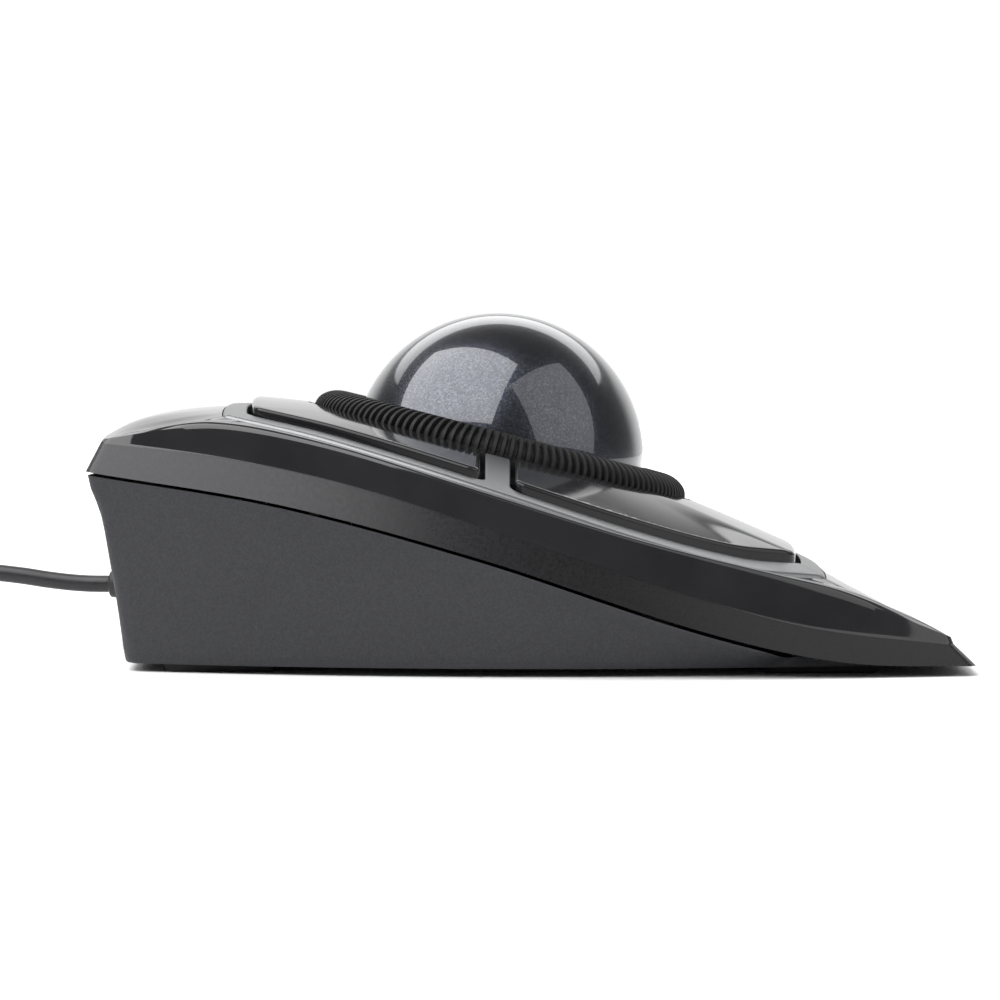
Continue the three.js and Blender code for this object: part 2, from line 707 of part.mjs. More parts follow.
// The far end comes down off the coil and goes back towards the device, into the plug.
const TAIL_ROUTE = [
  [-45.2, 173.1, 12.2], [-45.2, 169, 11.1], [-45.2, 164, 8.3], [-45.2, 159, 5.5], [-45.2, 155, 4.4],
  [-45.2, 152, 4.2],
];
// Inside, the lead rises from the back wall to its connector under the main board.
const LEAD_ROUTE = [
  [0, 68.3, 11], [0, 66.6, 11.05], [0, 63.4, 12.5], [0, 60, 16.5], [0, 57.5, 21], [0, 56.6, 25.4],
];
const HEADER = { y: 42.5, width: 11, depth: 5, height: 3.4 };
const PLUG = { x: -45.2, z: 4.2, back: 151.7, relief: 9, length: 24, width: 15.6, height: 7.8 };
const USB_SHELL = { width: 12, height: 4.5, length: 12.4, wall: 0.4, r: 0.5 };
const TIE = { width: 6, thickness: 0.5, slack: 1.2 };

function tube(route, r, steps) {
  const shape = new THREE.Shape();
  shape.absarc(0, 0, r, 0, 2 * Math.PI);
  const points = route.map((p) => new THREE.Vector3(...p));
  const extrudePath = new THREE.CatmullRomCurve3(points, false, "centripetal");
  const options = { steps, extrudePath, bevelEnabled: false, curveSegments: 4 };
  return new THREE.ExtrudeGeometry(shape, options);
}

function coil() {
  const [inner, outer] = [COIL_MIDDLE_R - COIL_HALF_WIDTH, COIL_MIDDLE_R + COIL_HALF_WIDTH];
  const [low, high, c] = [COIL_BOTTOM, COIL_BOTTOM + COIL_HEIGHT, CORD_R];
  const section = [
    [inner, low + c], [inner + c, low], [outer - c, low], [outer, low + c],
    [outer, high - c], [outer - c, high], [inner + c, high], [inner, high - c],
  ];
  return turned(closedProfile(section), 32).translate(COIL_CENTRE.x, COIL_CENTRE.y, 0);
}

// A band round the turns at the coil's far side.
function coilTie() {
  const middle = COIL_BOTTOM + COIL_HEIGHT / 2;
  const inside = [2 * COIL_HALF_WIDTH + TIE.slack, COIL_HEIGHT + 2 * GAP];
  const outside = inside.map((v) => v + 2 * TIE.thickness);
  const [hole, band] = [inside, outside].map(([w, h]) => extruded(roundedPlate(w, h, 1), TIE.width));
  return cut(
    solid(band),
    solid(hole.clone().scale(1, 1, 2).translate(0, 0, -TIE.width / 2)),
  ).translate([0, 0, -TIE.width / 2]).rotate([90, 0, 90]).translate([
    COIL_CENTRE.x, COIL_CENTRE.y + COIL_MIDDLE_R - GAP / 2, middle,
  ]);
}

function grommet() {
  const { flangeR, r, tipR } = GROMMET;
  const [inside, tip] = [-4.3, GROMMET_TIP - GROMMET.y];
  const profile = [
    [0, inside], [flangeR, inside], [flangeR, inside + 1.2], [r, inside + 1.5], [r, 0.6],
    [flangeR, 1], [flangeR, 1.9], [r + 0.3, 2.4], [tipR, tip], [0, tip],
  ];
  return turned(profile, 16).rotateX(-Math.PI / 2).translate(0, GROMMET.y, GROMMET.z);
}

// The plug lies along Y, its mouth towards the device.
function plugOvermould() {
  const { relief, length, width, height } = PLUG;
  const body = extruded(roundedPlate(width, height, 1.6), length).rotateX(Math.PI / 2);
  const cone = [[0, 0], [CORD_R + 0.9, 0], [3.4, relief + 1], [0, relief + 1]];
  const neck = turned(cone, 14).rotateX(Math.PI / 2);
  const slot = box(USB_SHELL.width + 2 * GAP, 8, USB_SHELL.height + 2 * GAP, [0, -relief - length, 0]);
  return cut(joined(solid(body.translate(0, -relief, 0)), solid(neck)), solid(slot));
}

function usbShell() {
  const { width, height, length, wall, r } = USB_SHELL;
  const outside = extruded(roundedPlate(width, height, r), length + 3);
  const inside = roundedPlate(width - 2 * wall, height - 2 * wall, r - wall / 2);
  const hollow = extruded(inside, length + 3).translate(0, 0, 1);
  return cut(solid(outside), solid(hollow)).rotate([90, 0, 0]);
}

// ---------------------------------------------------------------- the assembly

const FINISH = {
  glossBlack: { color: 0x202022, roughness: 0.25 },
  satinGrey: { color: 0x85878a, roughness: 0.4, metalness: 0.3 },
  texturedGrey: { color: 0x4a4b50, roughness: 0.7 },
  rubber: { color: 0x0d0d0d, roughness: 0.85 },
  ball: { color: 0x2c2d32, roughness: 0.15, metalness: 0.4 },
  innerBlack: { color: 0x1b1b1d, roughness: 0.6 },
  steel: { color: 0xb8babd, roughness: 0.3, metalness: 1 },
  board: { color: 0x1d4a2c, roughness: 0.5 },
  chip: { color: 0x17181a, roughness: 0.6 },
  white: { color: 0xd8d8d2, roughness: 0.5 },
  clear: { color: 0xdfe6ea, roughness: 0.1 },
  ledRed: { color: 0xb02018, roughness: 0.2 },
  cord: { color: 0x3b3a3f, roughness: 0.6 },
};
const material = Object.fromEntries(
  Object.entries(FINISH).map(([name, values]) => [name, new THREE.MeshStandardMaterial(values)]),
);

const trackball = new THREE.Group();
trackball.add(tilted);

function add(name, shape, finish, { at = [0, 0, 0], parent = trackball } = {}) {
  const geometry = shape.isBufferGeometry ? shape : toGeometry(shape);
  const mesh = new THREE.Mesh(geometry, material[finish]);
  mesh.name = name;
  mesh.position.set(...at);
  parent.add(mesh);
  return mesh;
}

const ON_BOARD = BOARD_TOP + GAP;
const UNDER_BOARD = BOARD_TOP - BOARD_THICKNESS - GAP;

const CORNERS = [
  { name: "rear_left", sideX: -1, sideY: 1 },
  { name: "rear_right", sideX: 1, sideY: 1 },
  { name: "front_left", sideX: -1, sideY: -1 },
  { name: "front_right", sideX: 1, sideY: -1 },
];

add("upper_shell", upperShell(), "glossBlack");
add("lower_housing", lowerHousing(), "texturedGrey");
add("top_plate", topPlate(), "satinGrey");
add("ball", new THREE.SphereGeometry(BALL_R, 32, 20), "ball", { parent: tilted });
add("scroll_ring", solid(turned(closedProfile(RING_PROFILE), 48)), "rubber", { parent: tilted });
add("encoder_comb", encoderComb(), "innerBlack", { parent: tilted });
add("ring_track", solid(turned(closedProfile(TRACK_PROFILE), 40)), "innerBlack", { parent: tilted });
add("ball_cup", ballCup(), "innerBlack", { parent: tilted });
BEARING.azimuths.forEach((azimuth, i) => {
  const bead = new THREE.SphereGeometry(BEARING.r, 10, 6);
  const place = new THREE.Vector3(0, 0, -(BALL_R + BEARING.r + GAP)).applyMatrix4(bearingTurn(azimuth));
  add(`support_bearing_${i + 1}`, bead, "steel", { at: place.toArray(), parent: tilted });
});
add("main_board", mainBoard(), "board", { parent: tilted });
CORNERS.forEach(({ name, sideX, sideY }) => {
  const at = [sideX * SWITCH_AT.x, sideY * SWITCH_AT.y];
  const plunger = box(PLUNGER.x, PLUNGER.y, PLUNGER.height);
  const plungerZ = SWITCH_TOP + PLUNGER_STANDS - PLUNGER.height / 2;
  add(`button_${name}`, button(sideX, sideY), "glossBlack");
  add(`switch_body_${name}`, switchBody(), "innerBlack", { at: [...at, ON_BOARD], parent: tilted });
  add(`switch_plunger_${name}`, plunger, "white", { at: [...at, plungerZ], parent: tilted });
});
add("controller_chip", box(8, 18, 2.2), "chip", { at: [-38, 2, ON_BOARD + 1.1], parent: tilted });
add("crystal", box(11, 4.4, 3.4), "steel", { at: [38, 4, ON_BOARD + 1.7], parent: tilted });
add("ring_sensor", box(3.4, 4.6, 4.4), "chip", { at: [35, 14, ON_BOARD + 2.2], parent: tilted });
add("cable_header", box(HEADER.width, HEADER.depth, HEADER.height), "white", {
  at: [0, HEADER.y, UNDER_BOARD - HEADER.height / 2],
  parent: tilted,
});

// The sensor's parts stand square to a line that comes up at the ball from behind.
const sensorGroup = new THREE.Group();
sensorGroup.position.copy(BALL);
sensorGroup.rotation.x = -SENSOR_TILT;
trackball.add(sensorGroup);
const sensorAt = (x, y, z) => ({ at: [x, y, z], parent: sensorGroup });
const { width, thickness, length, distance } = SENSOR_BOARD;
const led = rod(1.5, -2.4, 2.4, [0, 0], 12).rotateX(Math.PI / 2);
add("sensor_board", box(width, thickness, length), "board", sensorAt(0, distance, 0));
add("sensor_chip", box(9.9, 2.4, 9.1), "chip", sensorAt(0, distance - 2.1, 0));
add("sensor_lens", box(9.6, 1.8, 8.6), "clear", sensorAt(0, 31, 0));
add("illumination_led", led, "ledRed", sensorAt(8, distance - 3.3, 0));

HOUSING_SCREWS.forEach(({ name, x, y, head, tip }) => {
  add(`housing_screw_${name}`, screw(HOUSING_SCREW, tip - head), "steel", { at: [x, y, head] });
});
BOARD_SCREWS.forEach(({ name, x, y }) => {
  const { headHeight } = BOARD_SCREW;
  add(`board_screw_${name}`, screw(BOARD_SCREW, BOARD_SCREW.length + headHeight), "steel", {
    at: [x, y, UNDER_BOARD - headHeight],
    parent: tilted,
  });
});
FEET.forEach(({ name, x, y }) => {
  const pad = extruded(roundedPlate(FOOT.width, FOOT.length, 1.8), FOOT.top);
  add(`foot_${name}`, pad, "rubber", { at: [x, y, 0] });
});

add("cable_grommet", grommet(), "rubber");
add("inner_lead", tube(LEAD_ROUTE, CORD_R, 8), "cord");
add("cable_connector", box(9, 5, 3.2), "white", {
  at: [0, HEADER.y + HEADER.depth + GAP, UNDER_BOARD - HEADER.height / 2],
  parent: tilted,
});
add("usb_cable", tube(CORD_ROUTE, CORD_R, 24), "cord");
add("cable_coil", coil(), "cord");
add("cable_tail", tube(TAIL_ROUTE, CORD_R, 8), "cord");
add("coil_tie", coilTie(), "innerBlack");
add("plug_overmould", plugOvermould(), "innerBlack", { at: [PLUG.x, PLUG.back, PLUG.z] });
const shellBack = PLUG.back - PLUG.relief - PLUG.length + 3;
add("plug_shell", usbShell(), "steel", { at: [PLUG.x, shellBack, PLUG.z] });
add("plug_insulator", box(10.4, 11, 1.6), "white", { at: [PLUG.x, shellBack - 8.6, PLUG.z + 0.7] });

export default trackball;
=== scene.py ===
"""A corded desktop trackball in a white studio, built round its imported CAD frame.

Shapes are worked out in millimetres, in the frame's own axes, and mesh() turns them into metres.
"""

import json
import math

import bmesh
import bpy
import numpy as np
from mathutils import Matrix, Vector
from mathutils.geometry import delaunay_2d_cdt


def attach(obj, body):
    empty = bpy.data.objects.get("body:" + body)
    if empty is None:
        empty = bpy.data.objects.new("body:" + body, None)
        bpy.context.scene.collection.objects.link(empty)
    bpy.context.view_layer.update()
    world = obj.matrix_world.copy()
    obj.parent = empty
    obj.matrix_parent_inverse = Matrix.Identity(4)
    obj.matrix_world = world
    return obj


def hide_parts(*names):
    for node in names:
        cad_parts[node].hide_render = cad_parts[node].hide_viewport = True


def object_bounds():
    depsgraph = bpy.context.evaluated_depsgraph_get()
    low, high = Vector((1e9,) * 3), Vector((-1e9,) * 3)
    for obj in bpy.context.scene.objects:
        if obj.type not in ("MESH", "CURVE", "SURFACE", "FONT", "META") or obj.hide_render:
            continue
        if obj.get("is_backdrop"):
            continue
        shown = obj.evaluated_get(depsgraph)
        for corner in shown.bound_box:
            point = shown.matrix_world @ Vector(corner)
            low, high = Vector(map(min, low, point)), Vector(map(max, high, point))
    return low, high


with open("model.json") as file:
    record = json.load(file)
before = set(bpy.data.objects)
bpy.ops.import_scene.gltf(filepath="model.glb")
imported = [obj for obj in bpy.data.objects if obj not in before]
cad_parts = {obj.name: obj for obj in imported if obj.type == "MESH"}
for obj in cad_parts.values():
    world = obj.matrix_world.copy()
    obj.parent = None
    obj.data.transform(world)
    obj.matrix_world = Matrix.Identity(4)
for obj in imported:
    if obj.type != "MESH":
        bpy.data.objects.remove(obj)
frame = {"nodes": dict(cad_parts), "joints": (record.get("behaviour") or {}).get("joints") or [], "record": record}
cad_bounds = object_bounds()

MM = 0.001
JOINTS = {joint["name"]: joint for joint in frame["joints"]}
BALL = np.array(JOINTS["ring_turn"]["pos_m"]) / MM
TILT = math.atan2(-JOINTS["ring_turn"]["axis"][1], JOINTS["ring_turn"]["axis"][2])
BALL_R = 27.5

HOUSING_BOTTOM = 1.4
FLOOR_TOP = 2.8
WALL = 2.2
TOP_AT_RING = 1.4
MOUTH_R = 36.8
DECK_MOUTH_R = 37.2
PLATE_THICKNESS = 2.9
DECK_TOP = 3.2
DECK_BOTTOM = 4.8
BUTTON_PROUD = (1.7, 0.4)  # at its outer edge and at the ring
BUTTON_DEPTH = 1
BUTTON_GAP = 0.8
BUTTON_RIM = 4
BRIDGE = 4.4
TOP_BULGE = 0.4
CORD_R = 1.6


def plan(back, front, side, back_y, front_y, back_bow, front_bow, corner):
    """A plan outline: half-widths, the corners' places along Y, the ends' bows and the corners' size."""
    return {
        "back": back, "front": front, "side": side, "back_y": back_y, "front_y": front_y,
        "back_bow": back_bow, "front_bow": front_bow, "corner": corner,
    }


PLATE_EDGE = plan(46, 48, 58.6, 52.8, -50.6, 2.6, 3, 1.2)
ROLL_EDGE = plan(51.6, 54.6, 62.3, 72.4, -71, 3.2, 3.6, 1.6)
CREASE = plan(52, 55, 63, 72.8, -71.4, 3.2, 3.6, 1.6)
PARTING = plan(54.4, 57.4, 65, 75.2, -74.8, 2.4, 2.8, 2)
BASE = plan(49, 51, 60, 69.4, -67, 2.4, 3, 3)

# Rises of the middle of the back and of the front above the corners.
PLATE_RISE = (2.1, 0.3)
ROLL_RISE = (1.2, -1.6)
CREASE_RISE = (1, -1.2)


# ---------------------------------------------------------------- curves and outlines


def along(knots):
    """A smooth curve z(y) through knots that run from high y to low y."""
    ys = np.array([y for y, _ in knots], float)[::-1]
    zs = np.array([z for _, z in knots], float)[::-1]
    slopes = np.empty(len(ys))
    slopes[1:-1] = (zs[2:] - zs[:-2]) / (ys[2:] - ys[:-2])
    slopes[0] = (zs[1] - zs[0]) / (ys[1] - ys[0])
    slopes[-1] = (zs[-1] - zs[-2]) / (ys[-1] - ys[-2])

    def curve(y):
        inside = np.clip(y, ys[0], ys[-1])
        i = np.clip(np.searchsorted(ys, inside) - 1, 0, len(ys) - 2)
        span = ys[i + 1] - ys[i]
        t = (inside - ys[i]) / span
        u = 1 - t
        ends = zs[i] * (1 + 2 * t) * u * u + zs[i + 1] * (3 - 2 * t) * t * t
        return ends + span * (slopes[i] * t * u * u - slopes[i + 1] * u * t * t)

    return curve


PLATE_HEIGHT = along([(52.8, 44), (35.6, 40.1), (8.6, 31.9), (-18.3, 23), (-38.7, 17.5), (-50.6, 16.2)])
ROLL_HEIGHT = along([
    (72.4, 39.8), (56, 41.7), (35.3, 38.5), (8.5, 30.5),
    (-18.1, 22.4), (-43.2, 15.8), (-55.1, 12.5), (-71, 6.4),
])
CREASE_HEIGHT = along([
    (72.8, 39.3), (51.3, 36.8), (28.5, 31.9), (-4.7, 21.2), (-31.3, 12.5), (-48.1, 8.2), (-71.4, 5.2),
])
PARTING_HEIGHT = along([
    (75.2, 34.3), (41.7, 28.9), (8.5, 20.1), (-24.5, 9.2), (-42.9, 4.3), (-56, 2.3), (-74.8, 1.7),
])


def smoothstep(x, low, high):
    t = np.clip((x - low) / (high - low), 0, 1)
    return t * t * (3 - 2 * t)


def side_x(p, y):
    """The half-width of an outline's bowed side at y."""
    t = (p["back_y"] - y) / (p["back_y"] - p["front_y"])
    bow = p["side"] - (p["back"] + p["front"]) / 2
    return p["back"] + (p["front"] - p["back"]) * t + bow * 4 * t * (1 - t)


def back_y(p, x):
    return p["back_y"] + p["back_bow"] * (1 - (x / p["back"]) ** 2)


def front_y(p, x):
    return p["front_y"] - p["front_bow"] * (1 - (x / p["front"]) ** 2)


def bezier_corner(start, corner, end, steps):
    t = (np.arange(1, steps) / steps)[:, None]
    return (1 - t) ** 2 * start + 2 * (1 - t) * t * corner + t * t * end


def outline(p, side_steps=110, end_steps=84, corner_steps=10):
    """A closed outline of four bowed sides, counter-clockwise from the right end of the back."""
    length = p["back_y"] - p["front_y"]

    def back(t):
        x = p["back"] * (1 - 2 * t)
        return np.stack([x, back_y(p, x)], -1)

    def front(t):
        x = p["front"] * (2 * t - 1)
        return np.stack([x, front_y(p, x)], -1)

    def left(t):
        y = p["back_y"] - length * t
        return np.stack([-side_x(p, y), y], -1)

    def right(t):
        y = p["front_y"] + length * t
        return np.stack([side_x(p, y), y], -1)

    sides = [
        (back, 2 * p["back"], end_steps), (left, length, side_steps),
        (front, 2 * p["front"], end_steps), (right, length, side_steps),
    ]
    parts = []
    for k, (at, size, steps) in enumerate(sides):
        following, next_size, _ = sides[(k + 1) % 4]
        cut = p["corner"] / size
        parts.append(at(np.linspace(cut, 1 - cut, steps + 1)))
        corner = bezier_corner(
            at(np.array([1 - cut])), at(np.array([1.0])), following(np.array([p["corner"] / next_size])),
            corner_steps,
        )
        parts.append(corner)
    return np.concatenate(parts)


def smaller(p, d, corner):
    """The same outline, smaller all round by a distance, with corners of its own."""
    return {
        **p, "back": p["back"] - d, "front": p["front"] - d, "side": p["side"] - d,
        "back_y": p["back_y"] - d, "front_y": p["front_y"] + d, "corner": corner,
    }


def normals_2d(points):
    """Outward plan normals of a counter-clockwise loop."""
    along_loop = np.roll(points[:, :2], -1, 0) - np.roll(points[:, :2], 1, 0)
    along_loop /= np.linalg.norm(along_loop, axis=1)[:, None] + 1e-12
    return np.stack([along_loop[:, 1], -along_loop[:, 0]], -1)


def inset(points, distance):
    """A counter-clockwise loop moved inwards."""
    return points - normals_2d(points) * distance


def line_height(p, height, rise):
    """The height of a line round the body: its height along the sides, with a crown across each end."""

    def at(points):
        x, y = points[:, 0], points[:, 1]
        back = smoothstep(y, p["back_y"] - p["corner"], p["back_y"])
        front = smoothstep(-y, -p["front_y"] - p["corner"], -p["front_y"])
        back_crown = rise[0] * np.maximum(0, 1 - (x / p["back"]) ** 2)
        front_crown = rise[1] * np.maximum(0, 1 - (x / p["front"]) ** 2)
        return height(y) + back * back_crown + front * front_crown

    return at


def lifted(points, heights):
    heights = np.broadcast_to(heights, len(points))
    return np.column_stack([points[:, 0], points[:, 1], heights])


def level(height):
    return lambda points: np.full(len(points), float(height))


def trimmed(path, start, end):
    """An open path shortened at its two ends by these distances."""
    steps = np.linalg.norm(np.diff(path, axis=0), axis=1)
    s = np.concatenate([[0], np.cumsum(steps)])
    wanted = s[(s > start) & (s < s[-1] - end)]
    wanted = np.concatenate([[start], wanted, [s[-1] - end]])
    return np.stack([np.interp(wanted, s, path[:, 0]), np.interp(wanted, s, path[:, 1])], -1)


def rounded_loop(paths, corners, steps=8):
    """Open paths end to end as one closed loop; each junction after a path is rounded by its size."""
    parts = []
    for k, path in enumerate(paths):
        ours = trimmed(path, corners[k - 1], corners[k])
        following = trimmed(paths[(k + 1) % len(paths)], corners[k], 0)
        parts.append(ours)
        parts.append(bezier_corner(ours[-1:], path[-1:], following[:1], steps))
    return np.concatenate(parts)


def rounded_rectangle(width, length, r, at, steps=6):
    x, y = width / 2, length / 2
    loop = []
    for k, (cx, cy) in enumerate([(x - r, y - r), (r - x, y - r), (r - x, r - y), (x - r, r - y)]):
        angles = math.pi / 2 * (k + np.linspace(0, 1, steps))
        loop.append(np.stack([cx + r * np.cos(angles), cy + r * np.sin(angles)], -1))
    return np.concatenate(loop) + np.array(at)


def circle(r, at, steps=32):
    angles = np.arange(steps) * 2 * math.pi / steps
    return np.stack([at[0] + r * np.cos(angles), at[1] + r * np.sin(angles)], -1)


# ---------------------------------------------------------------- meshes


class Shape:
    """Vertices and faces gathered from surfaces that meet edge to edge."""

    def __init__(self):
        self.points = []
        self.faces = []
        self.marks = []

    def add(self, points, faces, mark=0):
        start = sum(len(p) for p in self.points)
        self.points.append(np.asarray(points, float))
        self.faces += [tuple(start + i for i in face) for face in faces]
        self.marks += [mark] * len(faces)

    def loft(self, rings, closed=False, mark=0):
        """Quads between rings of equal length; closed joins the last ring to the first."""
        n = len(rings[0])
        last = len(rings) if closed else len(rings) - 1
        faces = []
        for k in range(last):
            a, b = k * n, (k + 1) % len(rings) * n
            for i in range(n):
                j = (i + 1) % n
                faces.append((a + i, a + j, b + j, b + i))
        self.add(np.concatenate(rings), faces, mark)

    def fill(self, loops, height, spacing, down=False, mark=0):
        """Triangles inside the first loop and outside the others, at height(points)."""
        points, faces = triangulated(loops, spacing)
        if down:
            faces = [face[::-1] for face in faces]
        self.add(lifted(points, height(points)), faces, mark)


def inside_loops(points, loops):
    """Whether each point is inside an odd number of loops."""
    odd = np.zeros(len(points), bool)
    x, y = points[:, 0], points[:, 1]
    for loop in loops:
        following = np.roll(loop, -1, 0)
        for (x0, y0), (x1, y1) in zip(loop, following):
            if y0 == y1:
                continue
            crossing = ((y0 > y) != (y1 > y)) & (x < (x1 - x0) * (y - y0) / (y1 - y0) + x0)
            odd ^= crossing
    return odd


def triangulated(loops, spacing):
    """Corners and upward triangles between loops, on a grid of even triangles inside them."""
    edge = np.concatenate(loops)
    low, high = edge.min(0), edge.max(0)
    rows = []
    for k, y in enumerate(np.arange(low[1], high[1], spacing * 0.866)):
        xs = np.arange(low[0] + (k % 2) * spacing / 2, high[0], spacing)
        rows.append(np.stack([xs, np.full(len(xs), y)], -1))
    grid = np.concatenate(rows)
    grid = grid[inside_loops(grid, loops)]
    nearest = np.full(len(grid), 1e9)
    for start in range(0, len(edge), 200):
        gap = np.linalg.norm(grid[:, None] - edge[None, start:start + 200], axis=2).min(1)
        nearest = np.minimum(nearest, gap)
    grid = grid[nearest > 0.6 * spacing]
    edges = []
    start = 0
    for loop in loops:
        n = len(loop)
        edges += [(start + i, start + (i + 1) % n) for i in range(n)]
        start += n
    points = np.concatenate([edge, grid])
    found = delaunay_2d_cdt([Vector(p) for p in points], edges, [], 0, 1e-6)
    corners = np.array([tuple(v) for v in found[0]])
    faces = np.array([face for face in found[2] if len(face) == 3])
    centres = corners[faces].mean(1)
    faces = faces[inside_loops(centres, loops)]
    a, b, c = (corners[faces[:, k]] for k in range(3))
    turn = (b[:, 0] - a[:, 0]) * (c[:, 1] - a[:, 1]) - (b[:, 1] - a[:, 1]) * (c[:, 0] - a[:, 0])
    faces = [tuple(face) if t > 0 else tuple(face[::-1]) for face, t in zip(faces, turn)]
    return corners, faces


def mesh(name, shape, materials, sharp=35, weighted=False):
    """A mesh object from a Shape in millimetres, with its meeting edges joined."""
    data = bpy.data.meshes.new(name)
    data.from_pydata((np.concatenate(shape.points) * MM).tolist(), [], shape.faces)
    data.polygons.foreach_set("material_index", shape.marks)
    work = bmesh.new()
    work.from_mesh(data)
    bmesh.ops.remove_doubles(work, verts=work.verts, dist=2e-6)
    bmesh.ops.recalc_face_normals(work, faces=work.faces)
    work.to_mesh(data)
    work.free()
    data.shade_smooth()
    data.set_sharp_from_angle(angle=math.radians(sharp))
    for material in materials:
        data.materials.append(material)
    piece = bpy.data.objects.new(name, data)
    bpy.context.scene.collection.objects.link(piece)
    if weighted:
        modifier = piece.modifiers.new("even_normals", "WEIGHTED_NORMAL")
        modifier.keep_sharp = True
    return piece


def stands_for(piece, body, slot, *nodes):
    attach(piece, body)
    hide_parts(*nodes)
    return piece


def tilted(points):
    """Points of the ring's frame, whose Z is the ring's axis, in the row frame."""
    x, y, z = points[..., 0], points[..., 1], points[..., 2]
    cos, sin = math.cos(TILT), math.sin(TILT)
    return np.stack([x + BALL[0], BALL[1] + y * cos - z * sin, BALL[2] + y * sin + z * cos], -1)


def lathe_rings(profile, steps, place=lambda points: points):
    """Rings of a (radius, height) profile turned about Z."""
    angles = np.arange(steps) * 2 * math.pi / steps
    rings = []
    for r, z in profile:
        ring = np.stack([r * np.cos(angles), r * np.sin(angles), np.full(steps, z)], -1)
        rings.append(place(ring))
    return rings


# ---------------------------------------------------------------- materials


class Nodes:
    """A material's node tree, with short ways to add and join nodes."""

    def __init__(self, name):
        self.material = bpy.data.materials.new(name)
        self.material.use_nodes = True
        self.tree = self.material.node_tree
        self.tree.nodes.clear()
        output = self.tree.nodes.new("ShaderNodeOutputMaterial")
        self.shader = self.tree.nodes.new("ShaderNodeBsdfPrincipled")
        self.tree.links.new(self.shader.outputs["BSDF"], output.inputs["Surface"])
        self.place = self.tree.nodes.new("ShaderNodeTexCoord").outputs["Object"]

    def set(self, **values):
        for name, value in values.items():
            socket = self.shader.inputs[name.replace("_", " ")]
            socket.default_value = (*value, 1) if isinstance(value, tuple) else value
        return self

    def link(self, source, target):
        self.tree.links.new(source, target)

    def noise(self, scale, detail=2, roughness=0.5):
        node = self.tree.nodes.new("ShaderNodeTexNoise")
        node.inputs["Scale"].default_value = scale
        node.inputs["Detail"].default_value = detail
        node.inputs["Roughness"].default_value = roughness
        self.link(self.place, node.inputs["Vector"])
        return node.outputs["Fac"]

    def cells(self, scale):
        node = self.tree.nodes.new("ShaderNodeTexVoronoi")
        node.inputs["Scale"].default_value = scale
        self.link(self.place, node.inputs["Vector"])
        return node.outputs["Color"]

    def ramp(self, value, stops):
        """Colours or greys by a value; stops are (position, colour)."""
        node = self.tree.nodes.new("ShaderNodeValToRGB")
        elements = node.color_ramp.elements
        while len(elements) < len(stops):
            elements.new(0.5)
        for element, (position, colour) in zip(elements, stops):
            element.position = position
            element.color = (*colour, 1) if isinstance(colour, tuple) else (colour, colour, colour, 1)
        self.link(value, node.inputs["Fac"])
        return node.outputs["Color"]

    def spread(self, value, low, high, to_low, to_high):
        node = self.tree.nodes.new("ShaderNodeMapRange")
        for name, number in zip(("From Min", "From Max", "To Min", "To Max"), (low, high, to_low, to_high)):
            node.inputs[name].default_value = number
        self.link(value, node.inputs["Value"])
        return node.outputs["Result"]

    def mottled(self, dark, light, scale, detail=2, roughness=0.5, low=0.3):
        """A colour that varies between two by a noise."""
        return self.ramp(self.noise(scale, detail, roughness), [(low, dark), (1 - low, light)])

    def product(self, a, b):
        node = self.tree.nodes.new("ShaderNodeMix")
        node.data_type = "RGBA"
        node.blend_type = "MULTIPLY"
        node.inputs[0].default_value = 1
        self.link(a, node.inputs[6])
        self.link(b, node.inputs[7])
        return node.outputs[2]

    def axis(self, name):
        node = self.tree.nodes.new("ShaderNodeSeparateXYZ")
        self.link(self.place, node.inputs[0])
        return node.outputs[name]

    def bump(self, height, strength, distance):
        node = self.tree.nodes.new("ShaderNodeBump")
        node.inputs["Strength"].default_value = strength
        node.inputs["Distance"].default_value = distance
        self.link(height, node.inputs["Height"])
        self.link(node.outputs["Normal"], self.shader.inputs["Normal"])

    def colour(self, source):
        self.link(source, self.shader.inputs["Base Color"])
        return self

    def roughness(self, low, high, scale, detail=2):
        """Roughness that varies between two values by a noise."""
        value = self.spread(self.noise(scale, detail), 0.3, 0.7, low, high)
        self.link(value, self.shader.inputs["Roughness"])


def gloss_black():
    """Polished black moulding: hardly any waviness, faint dust of gloss variation."""
    nodes = Nodes("gloss_black")
    nodes.colour(nodes.mottled((0.009, 0.009, 0.010), (0.014, 0.014, 0.015), 90, 3))
    nodes.roughness(0.05, 0.085, 260, 4)
    nodes.bump(nodes.noise(45, 1), 0.02, 0.0004)
    return nodes.set(IOR=1.5).material


def button_black():
    """The buttons' polished black, with a little less shine than the shell."""
    nodes = Nodes("button_black")
    nodes.colour(nodes.mottled((0.008, 0.008, 0.009), (0.012, 0.012, 0.013), 90, 3))
    nodes.roughness(0.06, 0.09, 260, 4)
    return nodes.set(IOR=1.5, Specular_IOR_Level=0.26).material


def skirt_grey():
    """Dark metallic spark texture on the shell's skirt, with painted shade that darkens it from the back towards
    the nose.
    """
    nodes = Nodes("skirt_grey")
    # Painted shade: the skirt's colour is scaled down from full at the back to a tenth of it at the nose.
    painted_shade = nodes.ramp(
        nodes.spread(nodes.axis("Y"), -0.078, 0.078, 0, 1),
        [(0, 0.1), (0.35, 0.15), (0.6, 0.4), (0.85, 0.9), (1, 1.0)],
    )
    grain = nodes.mottled((0.016, 0.016, 0.018), (0.026, 0.026, 0.029), 2600, 3, 0.6)
    nodes.colour(nodes.product(grain, painted_shade))
    nodes.roughness(0.24, 0.32, 1500)
    nodes.bump(nodes.noise(2600, 3, 0.6), 0.15, 0.00003)
    return nodes.set(IOR=1.5, Specular_IOR_Level=0.3).material


